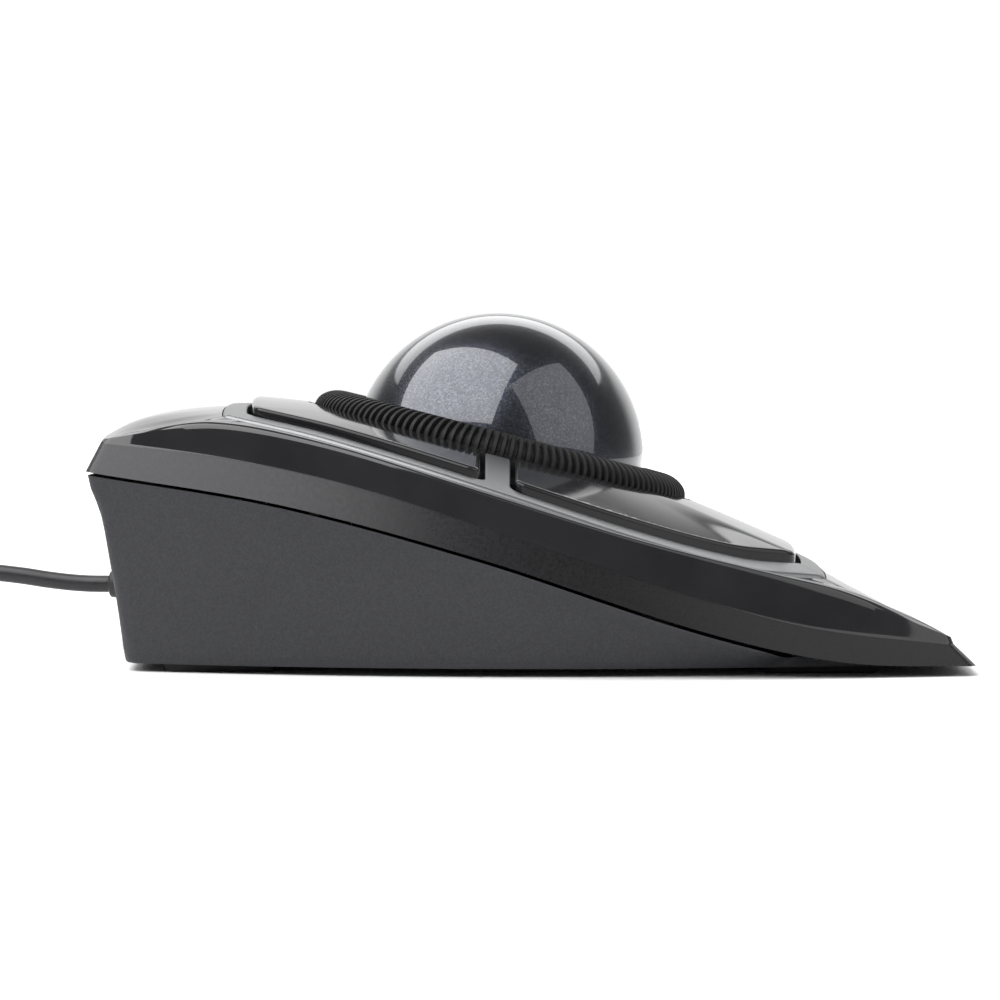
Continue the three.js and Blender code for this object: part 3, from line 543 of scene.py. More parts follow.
def satin_grey():
    """Silver-grey satin paint with a fine metallic grain."""
    nodes = Nodes("satin_grey")
    nodes.colour(nodes.mottled((0.165, 0.167, 0.171), (0.195, 0.197, 0.202), 3000, 2, 0.6))
    nodes.roughness(0.34, 0.38, 300)
    nodes.bump(nodes.noise(3000, 2), 0.03, 0.00001)
    return nodes.set(Metallic=0.9).material


def textured_grey():
    """Dark grey moulding with a spark-eroded texture."""
    nodes = Nodes("textured_grey")
    fine = nodes.mottled((0.021, 0.0215, 0.0245), (0.032, 0.0325, 0.0365), 2300, 3, 0.65, low=0.32)
    broad = nodes.mottled(0.92, 1.0, 60)
    nodes.colour(nodes.product(fine, broad))
    nodes.roughness(0.5, 0.62, 900)
    nodes.bump(nodes.noise(2300, 3, 0.65), 0.35, 0.00006)
    return nodes.set(Specular_IOR_Level=0.3).material


def ring_rubber():
    nodes = Nodes("ring_rubber")
    nodes.colour(nodes.mottled((0.007, 0.007, 0.007), (0.010, 0.010, 0.010), 900, 3))
    nodes.roughness(0.55, 0.68, 400)
    nodes.bump(nodes.noise(3000, 2), 0.15, 0.00004)
    return nodes.set(Specular_IOR_Level=0.22).material


def foot_rubber():
    nodes = Nodes("foot_rubber")
    nodes.colour(nodes.mottled((0.004, 0.004, 0.004), (0.008, 0.008, 0.008), 700, 3))
    nodes.bump(nodes.noise(2400, 2), 0.3, 0.00005)
    return nodes.set(Roughness=0.75).material


def ball_resin():
    """Clear resin over metallic flakes: small bright cells in blue-black, under a polished coat."""
    nodes = Nodes("ball_resin")
    flakes = nodes.ramp(
        nodes.cells(4600),
        [(0.0, (0.014, 0.015, 0.020)), (0.5, (0.032, 0.035, 0.044)), (1.0, (0.082, 0.087, 0.102))],
    )
    clouds = nodes.ramp(nodes.noise(240, 3), [(0.25, (0.7, 0.72, 0.8)), (0.75, (1.0, 1.0, 1.0))])
    nodes.colour(nodes.product(flakes, clouds))
    nodes.bump(nodes.noise(2600, 2), 0.2, 0.00005)
    nodes.set(Metallic=1.0, Roughness=0.27, Coat_Weight=1.0, Coat_Roughness=0.03, Coat_IOR=1.52)
    return nodes.material


def moulded(name, dark, light, roughness, grain=900):
    nodes = Nodes(name)
    nodes.colour(nodes.mottled(dark, light, grain, 3))
    nodes.roughness(roughness - 0.05, roughness + 0.05, grain / 2)
    nodes.bump(nodes.noise(grain * 2, 2), 0.12, 0.00004)
    return nodes


def metal(name, dark, light, roughness):
    nodes = moulded(name, dark, light, roughness, 1400)
    return nodes.set(Metallic=1.0)


def lens_glass():
    nodes = Nodes("clear_lens")
    nodes.roughness(0.02, 0.06, 300)
    return nodes.set(Base_Color=(0.92, 0.95, 0.97), Transmission_Weight=0.9, IOR=1.49).material


MATERIALS = {
    "gloss_black": gloss_black(),
    "satin_grey": satin_grey(),
    "textured_grey": textured_grey(),
    "ring_rubber": ring_rubber(),
    "foot_rubber": foot_rubber(),
    "ball_resin": ball_resin(),
    "inner_black": moulded("inner_black", (0.012, 0.012, 0.013), (0.022, 0.022, 0.024), 0.45).material,
    "bearing_steel": metal("bearing_steel", (0.55, 0.55, 0.56), (0.7, 0.7, 0.71), 0.12).material,
    "board_green": moulded("board_green", (0.01, 0.07, 0.03), (0.02, 0.12, 0.05), 0.35, 500).material,
    "chip_black": moulded("chip_black", (0.012, 0.012, 0.014), (0.02, 0.02, 0.024), 0.5).material,
    "bright_metal": metal("bright_metal", (0.58, 0.58, 0.6), (0.74, 0.74, 0.75), 0.22).material,
    "white_plastic": moulded("white_plastic", (0.66, 0.65, 0.6), (0.78, 0.77, 0.72), 0.4).material,
    "clear_lens": lens_glass(),
    "led_red": moulded("led_red", (0.4, 0.01, 0.01), (0.55, 0.03, 0.02), 0.15).material,
    "screw_steel": metal("screw_steel", (0.36, 0.36, 0.37), (0.5, 0.5, 0.51), 0.32).material,
    "cord_jacket": moulded("cord_jacket", (0.007, 0.0068, 0.0085), (0.011, 0.0106, 0.013), 0.42).material,
    "plug_rubber": moulded("plug_rubber", (0.008, 0.008, 0.0085), (0.013, 0.013, 0.014), 0.5).material,
    "tie_plastic": moulded("tie_plastic", (0.014, 0.014, 0.015), (0.022, 0.022, 0.023), 0.4).material,
}
SKIRT = skirt_grey()
BUTTON = button_black()

for subpart in frame["record"]["subparts"]:
    node = frame["nodes"][subpart["node"]]
    node.data.materials.clear()
    node.data.materials.append(MATERIALS[subpart["material_slot"]])


# ---------------------------------------------------------------- camera

CAMERA_AT = (-0.5, 0.0052, 0.0439)
CAMERA_DOWN = math.radians(1.847)
LENS = 95.2  # on a 36 mm sensor


def make_camera():
    data = bpy.data.cameras.new("camera")
    data.lens = LENS
    data.clip_start = 0.01
    data.clip_end = 50
    camera = bpy.data.objects.new("camera", data)
    camera.location = CAMERA_AT
    camera.rotation_euler = (math.pi / 2 - CAMERA_DOWN, 0, -math.pi / 2)
    bpy.context.scene.collection.objects.link(camera)
    bpy.context.scene.camera = camera


make_camera()

# ---------------------------------------------------------------- cable

GROMMET_Y, GROMMET_Z, GROMMET_TIP = 73, 11.9, 79
CORD_FLOOR = 2.6
CORD_START = (0, GROMMET_TIP + 0.3, GROMMET_Z)
# The cable leaves level, rises a little, and comes down to the surface on its way to the coil.
CORD_ROUTE = [
    CORD_START, (0, 84, 12), (0, 90, 12.6), (0, 96, 13.5), (0, 102, 14.1),
    (0, 109, 14.1), (0, 117, 12.8), (0, 126, 10.1), (0, 136, 7), (0, 146, 4.5), (0, 156, 3.1),
    (0, 165, CORD_FLOOR), (0, 173.1, CORD_FLOOR),
]
TAIL_ROUTE = [
    (-45.2, 173.1, 12.2), (-45.2, 169, 11.1), (-45.2, 164, 8.3), (-45.2, 159, 5.5), (-45.2, 155, 4.4),
    (-45.2, 152, 4.2),
]
COIL_CENTRE = (-22.6, 186)
LANE = 3.3  # from one turn to the next, sideways and upwards
OUTER_LANE_R = 22.6
LANES = 4
CROSSING = 50  # degrees that a change of lane takes
FIRST_CROSSING = 270
COIL_END = 14 * 360 + 180
COIL_STEP = 20


def coil_moves():
    """The changes of lane: (inwards, upwards), lane by lane and layer by layer."""
    moves = []
    for layer in range(LANES):
        direction = 1 if layer % 2 == 0 else -1
        moves += [(direction, 0)] * (LANES - 1)
        if layer < LANES - 1:
            moves.append((0, 1))
    return moves


def coil_points():
    """The turns' centreline, from the bottom outer lane up to the top outer one."""
    starts = []
    shift = 0
    moves = coil_moves()
    for k, move in enumerate(moves):
        if k and move != moves[k - 1]:
            shift += CROSSING
        starts.append(FIRST_CROSSING + 360 * k - shift)
    points = []
    for degrees in range(0, COIL_END + 1, COIL_STEP):
        shares = [float(smoothstep(degrees, start, start + CROSSING)) for start in starts]
        r = OUTER_LANE_R - LANE * sum(move[0] * share for move, share in zip(moves, shares))
        z = CORD_FLOOR + LANE * sum(move[1] * share for move, share in zip(moves, shares))
        angle = math.radians(degrees)
        points.append((COIL_CENTRE[0] + r * math.cos(angle), COIL_CENTRE[1] + r * math.sin(angle), z))
    return points


def make_cord():
    data = bpy.data.curves.new("usb_lead", "CURVE")
    data.dimensions = "3D"
    data.bevel_depth = CORD_R * MM
    data.bevel_resolution = 5
    data.resolution_u = 6
    data.use_fill_caps = True
    points = CORD_ROUTE + coil_points() + TAIL_ROUTE
    spline = data.splines.new("BEZIER")
    spline.bezier_points.add(len(points) - 1)
    for knot, place in zip(spline.bezier_points, points):
        knot.co = Vector(place) * MM
        knot.handle_left_type = knot.handle_right_type = "AUTO"
    data.materials.append(MATERIALS["cord_jacket"])
    cord = bpy.data.objects.new("usb_lead", data)
    bpy.context.scene.collection.objects.link(cord)
    return stands_for(cord, "housing", "cord_jacket", "usb_cable", "cable_coil", "cable_tail")


cord = make_cord()

# ---------------------------------------------------------------- the top surface

plate_height = line_height(PLATE_EDGE, PLATE_HEIGHT, PLATE_RISE)
plate_line = lifted(outline(PLATE_EDGE), plate_height(outline(PLATE_EDGE)))


def ray_angle(points):
    """The angle round the ball's centre, in the ring's plane."""
    return np.arctan2((points[:, 1] - BALL[1]) / math.cos(TILT), points[:, 0])


def ray_length(points):
    return np.hypot(points[:, 0], (points[:, 1] - BALL[1]) / math.cos(TILT))


order = np.argsort(ray_angle(plate_line))
EDGE_ANGLE = ray_angle(plate_line)[order]
EDGE_LENGTH = ray_length(plate_line)[order]
EDGE_HEIGHT = plate_line[order, 2]


def mouth_points(r, angles):
    ring = np.stack([r * np.cos(angles), r * np.sin(angles), np.full(len(angles), TOP_AT_RING)], -1)
    return tilted(ring)


def top_share(points):
    """0 at the plate's outer edge and 1 at the circle round the ring."""
    angles = ray_angle(points)
    edge = np.interp(angles, EDGE_ANGLE, EDGE_LENGTH, period=2 * math.pi)
    mouth_length = ray_length(mouth_points(MOUTH_R - 0.6, angles))
    return (edge - ray_length(points)) / (edge - mouth_length)


def top_height(points):
    """The top surface: straight from the plate's edge to the circle round the ring, slightly crowned."""
    angles = ray_angle(points)
    edge_z = np.interp(angles, EDGE_ANGLE, EDGE_HEIGHT, period=2 * math.pi)
    mouth_z = mouth_points(MOUTH_R - 0.6, angles)[:, 2]
    t = top_share(points)
    return (1 - t) * edge_z + t * mouth_z + TOP_BULGE * t * (1 - t)


def button_top(points):
    """The buttons' tops: proudest at their outer edges and nearly flush with the plate at the ring."""
    return top_height(points) + BUTTON_PROUD[0] + (BUTTON_PROUD[1] - BUTTON_PROUD[0]) * top_share(points)


def lowered_top(depth):
    return lambda points: top_height(points) - depth


def slab(shape, loops, top, bottom, edges, spacing, steps=6):
    """A plate between two surfaces, with rounded top edges. The first loop is its outer edge.

    Each loop has an edge (width, drop), the size of its rounding.
    """
    caps = []
    turns = np.linspace(0, math.pi / 2, steps + 1)
    for k, (loop, (width, drop)) in enumerate(zip(loops, edges)):
        inward = normals_2d(loop) * (-1 if k == 0 else 1)
        rings = []
        for turn in turns:
            moved = loop + inward * width * (1 - math.sin(turn))
            rings.append(lifted(moved, top(moved) - drop * (1 - math.cos(turn))))
        rings.append(lifted(loop, bottom(loop)))
        shape.loft(rings)
        caps.append(rings[0][:, :2])
    shape.fill(caps, top, spacing)
    shape.fill(loops, bottom, spacing * 1.6, down=True)


# ---------------------------------------------------------------- top plate and buttons

PLATE_ROUNDING = [(0.9, 0.9), (0.4, 0.4)]  # width and drop, of the outer edge and of the opening's
BUTTON_ROUNDING = [(0.8, 0.6)]
TOP_SPACING = 0.9  # of the triangles in the plate's and the buttons' tops


def line_between(a, b, spacing=0.7):
    steps = max(2, int(np.linalg.norm(np.subtract(b, a)) / spacing))
    t = np.linspace(0, 1, steps + 1)[:, None]
    return np.array(a, float) * (1 - t) + np.array(b, float) * t


def quarter_paths(p, half_bridge, mouth_r, rear):
    """The four sides of a button's place on the right: bridge, side, end, bridge, and the mouth's arc."""
    end = back_y if rear else front_y
    sign = 1 if rear else -1
    corner_y = p["back_y"] if rear else p["front_y"]
    corner_x = p["back"] if rear else p["front"]
    bridge_y = BALL[1] + sign * half_bridge
    ys = np.linspace(bridge_y, corner_y, 90)
    side = np.stack([side_x(p, ys), ys], -1)
    xs = np.linspace(corner_x, half_bridge, 90)
    far = np.stack([xs, end(p, xs)], -1)
    angles = np.linspace(math.acos(half_bridge / mouth_r), math.asin(half_bridge / mouth_r), 70)
    arc = mouth_points(mouth_r, sign * angles)[:, :2]
    arc[0, 0] = half_bridge
    arc[-1, 1] = bridge_y
    return [
        line_between(arc[-1], side[0]), side, far, line_between(far[-1], arc[0]), arc,
    ]


def quarter_loop(p, half_bridge, mouth_r, corners, sx, rear):
    paths = quarter_paths(p, half_bridge, mouth_r, rear)
    loop = rounded_loop(paths, corners)
    loop = loop * np.array([sx, 1])
    return loop if (sx > 0) == rear else loop[::-1]


def make_button(name, sx, rear):
    p = smaller(PLATE_EDGE, BUTTON_RIM + BUTTON_GAP, 2)
    loop = quarter_loop(p, BRIDGE / 2 + BUTTON_GAP, MOUTH_R, [1.8, 2.2, 1.8, 0.7, 0.7], sx, rear)
    shape = Shape()
    slab(shape, [loop], button_top, lowered_top(BUTTON_DEPTH), BUTTON_ROUNDING, TOP_SPACING, 10)
    piece = mesh(name + "_cap", shape, [BUTTON], sharp=40, weighted=True)
    return stands_for(piece, name, "gloss_black", name)


def plate_inner_loop():
    """The plate's opening: four button places and the mouth, with the bridges' ends left standing."""
    p = smaller(PLATE_EDGE, BUTTON_RIM, 2.4)
    half = BRIDGE / 2
    paths, corners = [], []
    quarters = [(1, True), (-1, True), (-1, False), (1, False)]
    for k, (sx, rear) in enumerate(quarters):
        run = [path * np.array([sx, 1]) for path in quarter_paths(p, half, MOUTH_R, rear)[:4]]
        if (sx > 0) != rear:
            run = [path[::-1] for path in run[::-1]]
        paths += run
        corners += [2, 2.4, 2, 0.4]
        following = quarters[(k + 1) % 4]
        angle_now = ray_angle(run[-1][-1:])[0]
        next_paths = quarter_paths(p, half, MOUTH_R, following[1])
        next_start = next_paths[0] if (following[0] > 0) == following[1] else next_paths[3][::-1]
        next_point = next_start[0] * np.array([following[0], 1])
        angle_next = ray_angle(next_point[None])[0]
        if angle_next < angle_now:
            angle_next += 2 * math.pi
        tip = mouth_points(MOUTH_R, np.linspace(angle_now, angle_next, 9))[:, :2]
        tip[0], tip[-1] = run[-1][-1], next_point
        paths.append(tip)
        corners.append(0.4)
    return rounded_loop(paths, corners)


def make_plate():
    shape = Shape()
    outer = outline(PLATE_EDGE, 120, 90, 8)
    loops = [outer, plate_inner_loop()]
    slab(shape, loops, top_height, lowered_top(PLATE_THICKNESS), PLATE_ROUNDING, TOP_SPACING)
    piece = mesh("plate_skin", shape, [MATERIALS["satin_grey"]], sharp=40, weighted=True)
    return stands_for(piece, "housing", "satin_grey", "top_plate")


make_plate()
for rear, end_name in ((True, "rear"), (False, "front")):
    for sx, side_name in ((-1, "left"), (1, "right")):
        make_button(f"button_{end_name}_{side_name}", sx, rear)

# ---------------------------------------------------------------- upper shell

ROLL_LEAN = (80, 34, 27)  # how far the shell leans from level on its roll line: sides, back and front
CREASE_ROUNDING = 0.5
RIM_GAP = 0.08  # between the plate and the shell round it
RIM_DROP = 0.45  # the shell starts this far below the plate's edge
LIP = 0.4  # the skirt's bottom edge is softened over this width


def frame_along(line):
    """Unit vectors of a closed line in space: along it, outwards, and the up that is square to both."""
    u = np.roll(line, -1, 0) - np.roll(line, 1, 0)
    u /= np.linalg.norm(u, axis=1)[:, None]
    out = np.column_stack([normals_2d(line), np.zeros(len(line))])
    up = np.cross(out, u)
    up /= np.linalg.norm(up, axis=1)[:, None]
    up *= np.sign(up[:, 2])[:, None]
    return u, out, up


def sweep(a, b, start, end, steps, skip_first=False):
    """Rings of a curved surface from line a to line b, leaving and arriving at these tilts."""
    chord = b - a
    tangents = []
    for line, tilt in ((a, start), (b, end)):
        u, out, up = frame_along(line)
        share = np.sum(chord * u, 1)[:, None] * u
        across = np.linalg.norm(chord - share, axis=1)[:, None]
        tilt = np.broadcast_to(tilt, len(a))[:, None]
        tangents.append(share + across * (np.cos(tilt) * out - np.sin(tilt) * up))
    rings = []
    for t in np.linspace(0, 1, steps + 1)[1 if skip_first else 0:]:
        rings.append(
            (1 + 2 * t) * (1 - t) ** 2 * a + t * t * (3 - 2 * t) * b
            + t * (1 - t) ** 2 * tangents[0] - t * t * (1 - t) * tangents[1]
        )
    return rings


def side_share(line):
    """1 along the body's sides and 0 along its ends."""
    return smoothstep(np.abs(normals_2d(line)[:, 0]), 0.5, 0.9)


def leaning(line, lean):
    """Each point's lean in radians, from those of the sides, the back and the front."""
    side, back, front = (math.radians(angle) for angle in lean)
    end = np.where(line[:, 1] > 0, back, front)
    return end + (side - end) * side_share(line)


def away_from_corners(p, line, reach=22):
    """0 at the corners of an outline, rising to 1 within reach of them."""
    nearest = np.full(len(line), 1e9)
    for x, y in ((p["back"], p["back_y"]), (p["front"], p["front_y"])):
        nearest = np.minimum(nearest, np.hypot(np.abs(line[:, 0]) - x, line[:, 1] - y))
    return smoothstep(nearest, 0, reach)


def chord_lean(a, b):
    """How far the straight way from line a to line b leans from level."""
    _, out, up = frame_along(a)
    return np.arctan2(-np.sum((b - a) * up, 1), np.sum((b - a) * out, 1))


def arc_lean(a, b, lean):
    """The lean at line a of an arc that has the given lean at line b."""
    return np.clip(2 * chord_lean(a, b) - lean, math.radians(3), math.radians(88))


def placed(p, height, rise):
    points = outline(p)
    return lifted(points, line_height(p, height, rise)(points))


def towards(line, other, distance):
    """Points of a line moved towards another's by a distance, and never quite all the way."""
    step = other - line
    length = np.linalg.norm(step, axis=1)[:, None]
    return line + step * np.minimum(distance / length, 0.8)


def make_shell():
    rim_plan = smaller(PLATE_EDGE, -RIM_GAP, PLATE_EDGE["corner"])
    rim_points = outline(rim_plan)
    rim = lifted(rim_points, plate_line[:, 2] - RIM_DROP)
    roll = placed(ROLL_EDGE, ROLL_HEIGHT, ROLL_RISE)
    crease = placed(CREASE, CREASE_HEIGHT, CREASE_RISE)
    parting = placed(PARTING, PARTING_HEIGHT, (0, 0))
    shape = Shape()
    straight = chord_lean(rim, roll)
    roll_lean = straight + (leaning(roll, ROLL_LEAN) - straight) * away_from_corners(ROLL_EDGE, roll)
    roll_rings = sweep(rim, roll, arc_lean(rim, roll, roll_lean), roll_lean, 14)
    wall_lean = chord_lean(roll, crease)
    wall_rings = sweep(roll, crease, wall_lean, wall_lean, 8, True)
    above = towards(crease, wall_rings[-2], CREASE_ROUNDING)
    below = towards(crease, parting, CREASE_ROUNDING)
    edge_rings = [
        (1 - t) ** 2 * above + 2 * (1 - t) * t * crease + t * t * below for t in np.linspace(0, 1, 7)
    ]
    skirt_rings = [below + (parting - below) * t for t in np.linspace(0, 1, 4)]
    lip = lifted(inset(parting[:, :2], LIP), parting[:, 2] - LIP / 8)
    parting_inner = lifted(inset(parting[:, :2], WALL), parting[:, 2])
    crease_inner = lifted(inset(crease[:, :2], WALL), crease[:, 2] - 1.2)
    deck_edge = lifted(inset(rim_points, 1.5), crease_inner[:, 2])
    deck_edge[:, 2] = rim[:, 2] - DECK_BOTTOM
    angles = ray_angle(plate_line)
    mouth = mouth_points(DECK_MOUTH_R, angles)
    deck_bottom = mouth - np.array([0, 0, DECK_BOTTOM])
    deck_top = mouth - np.array([0, 0, DECK_TOP])
    deck_rim = lifted(rim_points, plate_line[:, 2] - DECK_TOP)
    shape.loft(roll_rings + wall_rings[:-1] + edge_rings[:5])
    shape.loft(edge_rings[4:] + skirt_rings[1:], mark=1)
    inside = [parting_inner, crease_inner, deck_edge, deck_bottom, deck_top, deck_rim]
    shape.loft([skirt_rings[-1], lip, *inside, rim])
    piece = mesh("shell_skin", shape, [MATERIALS["gloss_black"], SKIRT], sharp=28)
    return stands_for(piece, "housing", "gloss_black", "upper_shell")


make_shell()

# ---------------------------------------------------------------- lower housing and feet

TUB_SHARE = np.array([0, 0.3, 0.55, 0.8, 0.93, 1])
TUB_LEAN = np.array([0, 0.21, 0.42, 0.66, 0.92, 1])
TUB_GAP = 0.6
TUB_REVEAL = 0.3
TUB_TUCK = 6.5  # how far the tub's top draws in under the nose
TUB_EDGE_R = 0.7
BOSS_R = 4.4
HEAD_R = 2.9
BORE_R = 1.55
NOSE_RIM = 0.3
SCREW_AT = [(-37, 61, 9), (37, 61, 9), (-38, -58, 1.9), (38, -58, 1.9)]
FOOT_AT = {
    "rear_left": (-46, 53), "rear_right": (46, 53), "front_left": (-48, -49.4), "front_right": (48, -49.4),
}
FOOT_SIZE = (7.6, 19.4)
FOOT_TOP = 2


def tub_lines():
    base = outline(BASE)
    flush = outline(smaller(PARTING, TUB_REVEAL, PARTING["corner"]))
    tucked = outline(smaller(PARTING, TUB_TUCK, PARTING["corner"]))
    hidden = smoothstep(-flush[:, 1], 36, 50)[:, None]
    top = flush + (tucked - flush) * hidden
    height = np.maximum(PARTING_HEIGHT(outline(PARTING)[:, 1]) - TUB_GAP, FLOOR_TOP + NOSE_RIM)
    return base, top, height


def tub_rings(base, top, height, thickness, floor, steps=14):
    lean_at = along(list(zip(TUB_SHARE[::-1], TUB_LEAN[::-1])))
    rings = []
    for share in np.linspace(0, 1, steps + 1):
        flat = base + (top - base) * lean_at(share)
        flat = inset(flat, thickness)
        rings.append(lifted(flat, floor + (height - floor) * share))
    return rings


def screw_boss(shape, x, y, head):
    """The recess for a screw's head, its bore, and the boss that stands round them on the floor."""
    step = head + 1.9
    top = head + 3.4
    profile = [
        (HEAD_R, HOUSING_BOTTOM), (HEAD_R, step), (BORE_R, step),
        (BORE_R, top), (BOSS_R, top), (BOSS_R, FLOOR_TOP),
    ]
    shape.loft(lathe_rings(profile, 32, lambda points: points + np.array([x, y, 0])))


def make_housing():
    base, top, height = tub_lines()
    outer = tub_rings(base, top, height, 0, HOUSING_BOTTOM)
    inner = tub_rings(base, top, height, WALL, FLOOR_TOP)
    rounding = []
    for turn in np.linspace(0, math.pi / 2, 5):
        edge = inset(base, TUB_EDGE_R * (1 - math.sin(turn)))
        rounding.append(lifted(edge, HOUSING_BOTTOM + TUB_EDGE_R * (1 - math.cos(turn))))
    shape = Shape()
    shape.loft(rounding[:-1] + outer[1:] + inner[::-1])
    recesses = [circle(HEAD_R, (x, y)) for x, y, _ in SCREW_AT]
    bosses = [circle(BOSS_R, (x, y)) for x, y, _ in SCREW_AT]
    pockets = [rounded_rectangle(8.2, 20, 2, at) for at in FOOT_AT.values()]
    shape.fill([rounding[0][:, :2]] + recesses + pockets, level(HOUSING_BOTTOM), 4, down=True)
    shape.fill([inner[0][:, :2]] + bosses, level(FLOOR_TOP), 5)
    for x, y, head in SCREW_AT:
        screw_boss(shape, x, y, head)
    for pocket in pockets:
        ceiling = FOOT_TOP + 0.2
        shape.loft([lifted(pocket, HOUSING_BOTTOM), lifted(pocket, ceiling)])
        shape.fill([pocket], level(ceiling), 4, down=True)
    piece = mesh("housing_skin", shape, [MATERIALS["textured_grey"]], sharp=40)
    return stands_for(piece, "housing", "textured_grey", "lower_housing")


def make_foot(name, at):
    """A pad with rounded edges below, pressed into its pocket."""
    shape = Shape()
    width, length = FOOT_SIZE
    levels = [(0.35, 0), (0.12, 0.1), (0, 0.35), (0, FOOT_TOP)]
    rings = [lifted(rounded_rectangle(width - 2 * d, length - 2 * d, 1.8 - d, at, 10), z) for d, z in levels]
    shape.loft(rings)
    shape.fill([rings[0][:, :2]], level(0), 1.5, down=True)
    shape.fill([rings[-1][:, :2]], level(FOOT_TOP), 3)
    piece = mesh(f"foot_pad_{name}", shape, [MATERIALS["foot_rubber"]], sharp=50)
    return stands_for(piece, "housing", "foot_rubber", f"foot_{name}")


make_housing()
for foot_name, foot_at in FOOT_AT.items():
    make_foot(foot_name, foot_at)

# ---------------------------------------------------------------- ball and scroll ring

RIBS = 144
RIB_STEPS = 8  # points across one rib and one groove
RIB_DEPTH = 1
RING_PROFILE = [
    (28.6, -2.4), (31.1, -2.4), (31.1, 3.4), (33, 3.4), (33, -2.4), (36, -2.4),
]
SHOULDER = [(36, 0.9), (36, 1.8), (35.7, 2.9), (35, 3.8), (34, 4.5), (32.9, 5), (31.6, 5.25), (29.4, 5.25)]


def shoulder_curve(steps=26):
    """The ring's rolled shoulder as a smooth curve, with how deep its grooves are at each point."""
    knots = np.array(SHOULDER, float)
    lengths = np.concatenate([[0], np.cumsum(np.linalg.norm(np.diff(knots, axis=0), axis=1))])
    s = np.linspace(0, lengths[-1], steps)
    curve = np.stack([np.interp(s, lengths, knots[:, k]) for k in range(2)], -1)
    for _ in range(2):
        curve[1:-1] = (curve[:-2] + 2 * curve[1:-1] + curve[2:]) / 4
    depth = smoothstep(s, 0.1, 0.5) * (1 - smoothstep(s, lengths[-1] - 1.6, lengths[-1] - 0.8))
    return curve, depth


def make_ring():
    curve, depth = shoulder_curve()
    tangent = np.gradient(curve, axis=0)
    normal = np.stack([tangent[:, 1], -tangent[:, 0]], -1)
    normal /= np.linalg.norm(normal, axis=1)[:, None]
    steps = RIBS * RIB_STEPS
    angles = np.arange(steps) * 2 * math.pi / steps
    groove = (np.arange(steps) % RIB_STEPS >= RIB_STEPS / 2).astype(float)
    rings = []

    def ring(r, z):
        return tilted(np.stack([r * np.cos(angles), r * np.sin(angles), z + np.zeros(steps)], -1))

    for r, z in RING_PROFILE:
        rings.append(ring(r, z))
    for point, out, d in zip(curve, normal, depth):
        cut = RIB_DEPTH * d * groove
        rings.append(ring(point[0] - out[0] * cut, point[1] - out[1] * cut))
    rings.append(ring(28.9, 5.05))
    rings.append(ring(28.6, 4.6))
    shape = Shape()
    shape.loft(rings, closed=True)
    piece = mesh("ring_tyre", shape, [MATERIALS["ring_rubber"]], sharp=45)
    return stands_for(piece, "scroll_ring", "ring_rubber", "scroll_ring")


def make_ball():
    data = bpy.data.meshes.new("ball_sphere")
    work = bmesh.new()
    bmesh.ops.create_icosphere(work, subdivisions=7, radius=BALL_R * MM)
    bmesh.ops.translate(work, verts=work.verts, vec=Vector(BALL) * MM)
    work.to_mesh(data)
    work.free()
    data.shade_smooth()
    data.materials.append(MATERIALS["ball_resin"])
    piece = bpy.data.objects.new("ball_sphere", data)
    bpy.context.scene.collection.objects.link(piece)
    return stands_for(piece, "ball", "ball_resin", "ball")


make_ring()
make_ball()

# ---------------------------------------------------------------- what is on the cable


def along_y(at):
    """Turns points from about Z to about +Y and moves them."""
    return lambda points: np.stack([points[..., 0], points[..., 2], -points[..., 1]], -1) + np.array(at)


def make_grommet():
    profile = [
        (0.01, -4.3), (4.1, -4.3), (4.4, -4.0), (4.4, -3.2), (2.9, -2.8), (2.9, 0.6), (4.1, 0.9), (4.4, 1.2),
        (4.4, 1.7), (4.1, 2.0), (3.2, 2.4), (2.8, 4), (2.5, GROMMET_TIP - GROMMET_Y - 0.3),
        (2.2, GROMMET_TIP - GROMMET_Y), (0.01, GROMMET_TIP - GROMMET_Y),
    ]
    shape = Shape()
    shape.loft(lathe_rings(profile, 40, along_y((0, GROMMET_Y, GROMMET_Z))))
    piece = mesh("cable_gland", shape, [MATERIALS["plug_rubber"]], sharp=50)
    return stands_for(piece, "housing", "plug_rubber", "cable_grommet")


grommet = make_grommet()

# ---------------------------------------------------------------- studio


def make_floor():
    data = bpy.data.meshes.new("studio_floor")
    half = 12.0
    corners = [(-half, -half, 0), (half, -half, 0), (half, half, 0), (-half, half, 0)]
    data.from_pydata(corners, [], [(0, 1, 2, 3)])
    nodes = Nodes("studio_floor")
    nodes.colour(nodes.mottled((0.86, 0.86, 0.865), (0.88, 0.88, 0.885), 8))
    away = nodes.tree.nodes.new("ShaderNodeVectorMath")
    away.operation = "LENGTH"
    nodes.link(nodes.place, away.inputs[0])
    nodes.link(nodes.spread(away.outputs["Value"], 0.3, 1.2, 0, 1), nodes.shader.inputs["Emission Strength"])
    data.materials.append(nodes.set(Roughness=0.6, Emission_Color=(1, 1, 1)).material)
    floor = bpy.data.objects.new("studio_floor", data)
    bpy.context.scene.collection.objects.link(floor)
    floor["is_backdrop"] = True


def softbox(name, centre, across, down, size, radiance):
    """A rectangular light. Its centre and the directions of its edges are from the ball's centre."""
    x_axis = Vector(across).normalized()
    y_axis = Vector(down).normalized()
    z_axis = x_axis.cross(y_axis)
    if z_axis.dot(Vector(centre)) < 0:
        x_axis = -x_axis
        z_axis = -z_axis
    light = bpy.data.lights.new(name, "AREA")
    light.shape = "RECTANGLE"
    light.size, light.size_y = size
    light.energy = radiance * math.pi * size[0] * size[1]
    piece = bpy.data.objects.new(name, light)
    axes = Matrix((x_axis, y_axis, z_axis)).transposed().to_4x4()
    piece.matrix_world = Matrix.Translation(Vector(BALL) * MM + Vector(centre)) @ axes
    piece.visible_camera = False
    bpy.context.scene.collection.objects.link(piece)


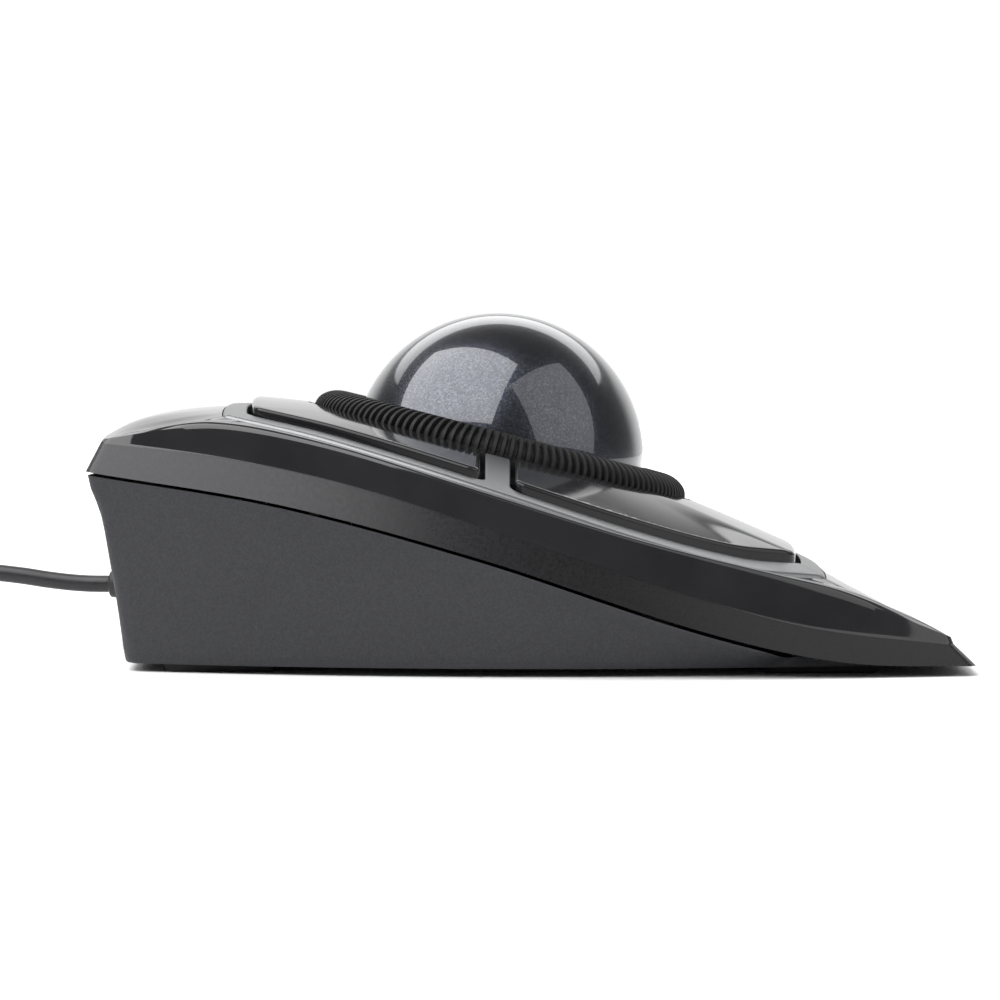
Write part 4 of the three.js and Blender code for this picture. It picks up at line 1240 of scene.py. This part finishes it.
def make_world():
    world = bpy.data.worlds.new("studio")
    world.use_nodes = True
    bpy.context.scene.world = world
    tree = world.node_tree
    tree.nodes.clear()
    new, link = tree.nodes.new, tree.links.new
    direction = new("ShaderNodeTexCoord").outputs["Generated"]

    def beyond(normal, level, soft):
        """1 on the far side of a plane through the sky, 0 on the near side."""
        dot = new("ShaderNodeVectorMath")
        dot.operation = "DOT_PRODUCT"
        dot.inputs[1].default_value = normal
        link(direction, dot.inputs[0])
        step = new("ShaderNodeMapRange")
        step.interpolation_type = "SMOOTHSTEP"
        step.inputs["From Min"].default_value = level - soft
        step.inputs["From Max"].default_value = level + soft
        link(dot.outputs["Value"], step.inputs["Value"])
        return step.outputs["Result"]

    def math_node(operation, a, b):
        node = new("ShaderNodeMath")
        node.operation = operation
        for socket, value in zip(node.inputs, (a, b)):
            if isinstance(value, (int, float)):
                socket.default_value = value
            else:
                link(value, socket)
        return node.outputs["Value"]

    crescent = math_node(
        "MULTIPLY", beyond((0.603, 0, -0.798), -0.164, 0.015), beyond((0.225, 0, 0.974), 0.615, 0.012)
    )
    horizon = math_node("MULTIPLY", beyond((0, 0, -1), -0.38, 0.06), beyond((1, 0, 0), 0.72, 0.12))
    level = math_node("ADD", 0.22, math_node("MULTIPLY", crescent, 2.1))
    level = math_node("ADD", level, math_node("MULTIPLY", horizon, 0.75))
    shown = new("ShaderNodeLightPath").outputs["Is Camera Ray"]
    lit = new("ShaderNodeBackground")
    lit.inputs["Color"].default_value = (1, 1, 1, 1)
    link(level, lit.inputs["Strength"])
    seen = new("ShaderNodeBackground")
    seen.inputs["Color"].default_value = (1, 1, 1, 1)
    seen.inputs["Strength"].default_value = 1.02
    both = new("ShaderNodeMixShader")
    link(shown, both.inputs["Fac"])
    link(lit.outputs["Background"], both.inputs[1])
    link(seen.outputs["Background"], both.inputs[2])
    link(both.outputs["Shader"], new("ShaderNodeOutputWorld").inputs["Surface"])


make_floor()
make_world()
softbox(
    "rear_softbox", (-0.184, 0.48, 1.004), (0.627, 0.765, -0.152), (-0.566, 0.313, -0.763),
    size=(1.59, 1.45), radiance=4.5,
)
softbox(
    "front_softbox", (-0.462, -0.664, 0.643), (0.883, -0.43, -0.189), (-0.378, -0.411, -0.829),
    size=(1.05, 1.15), radiance=1.4,
)
bpy.context.scene.view_settings.view_transform = "Standard"

[[list(corner) for corner in box] for box in (cad_bounds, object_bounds())]
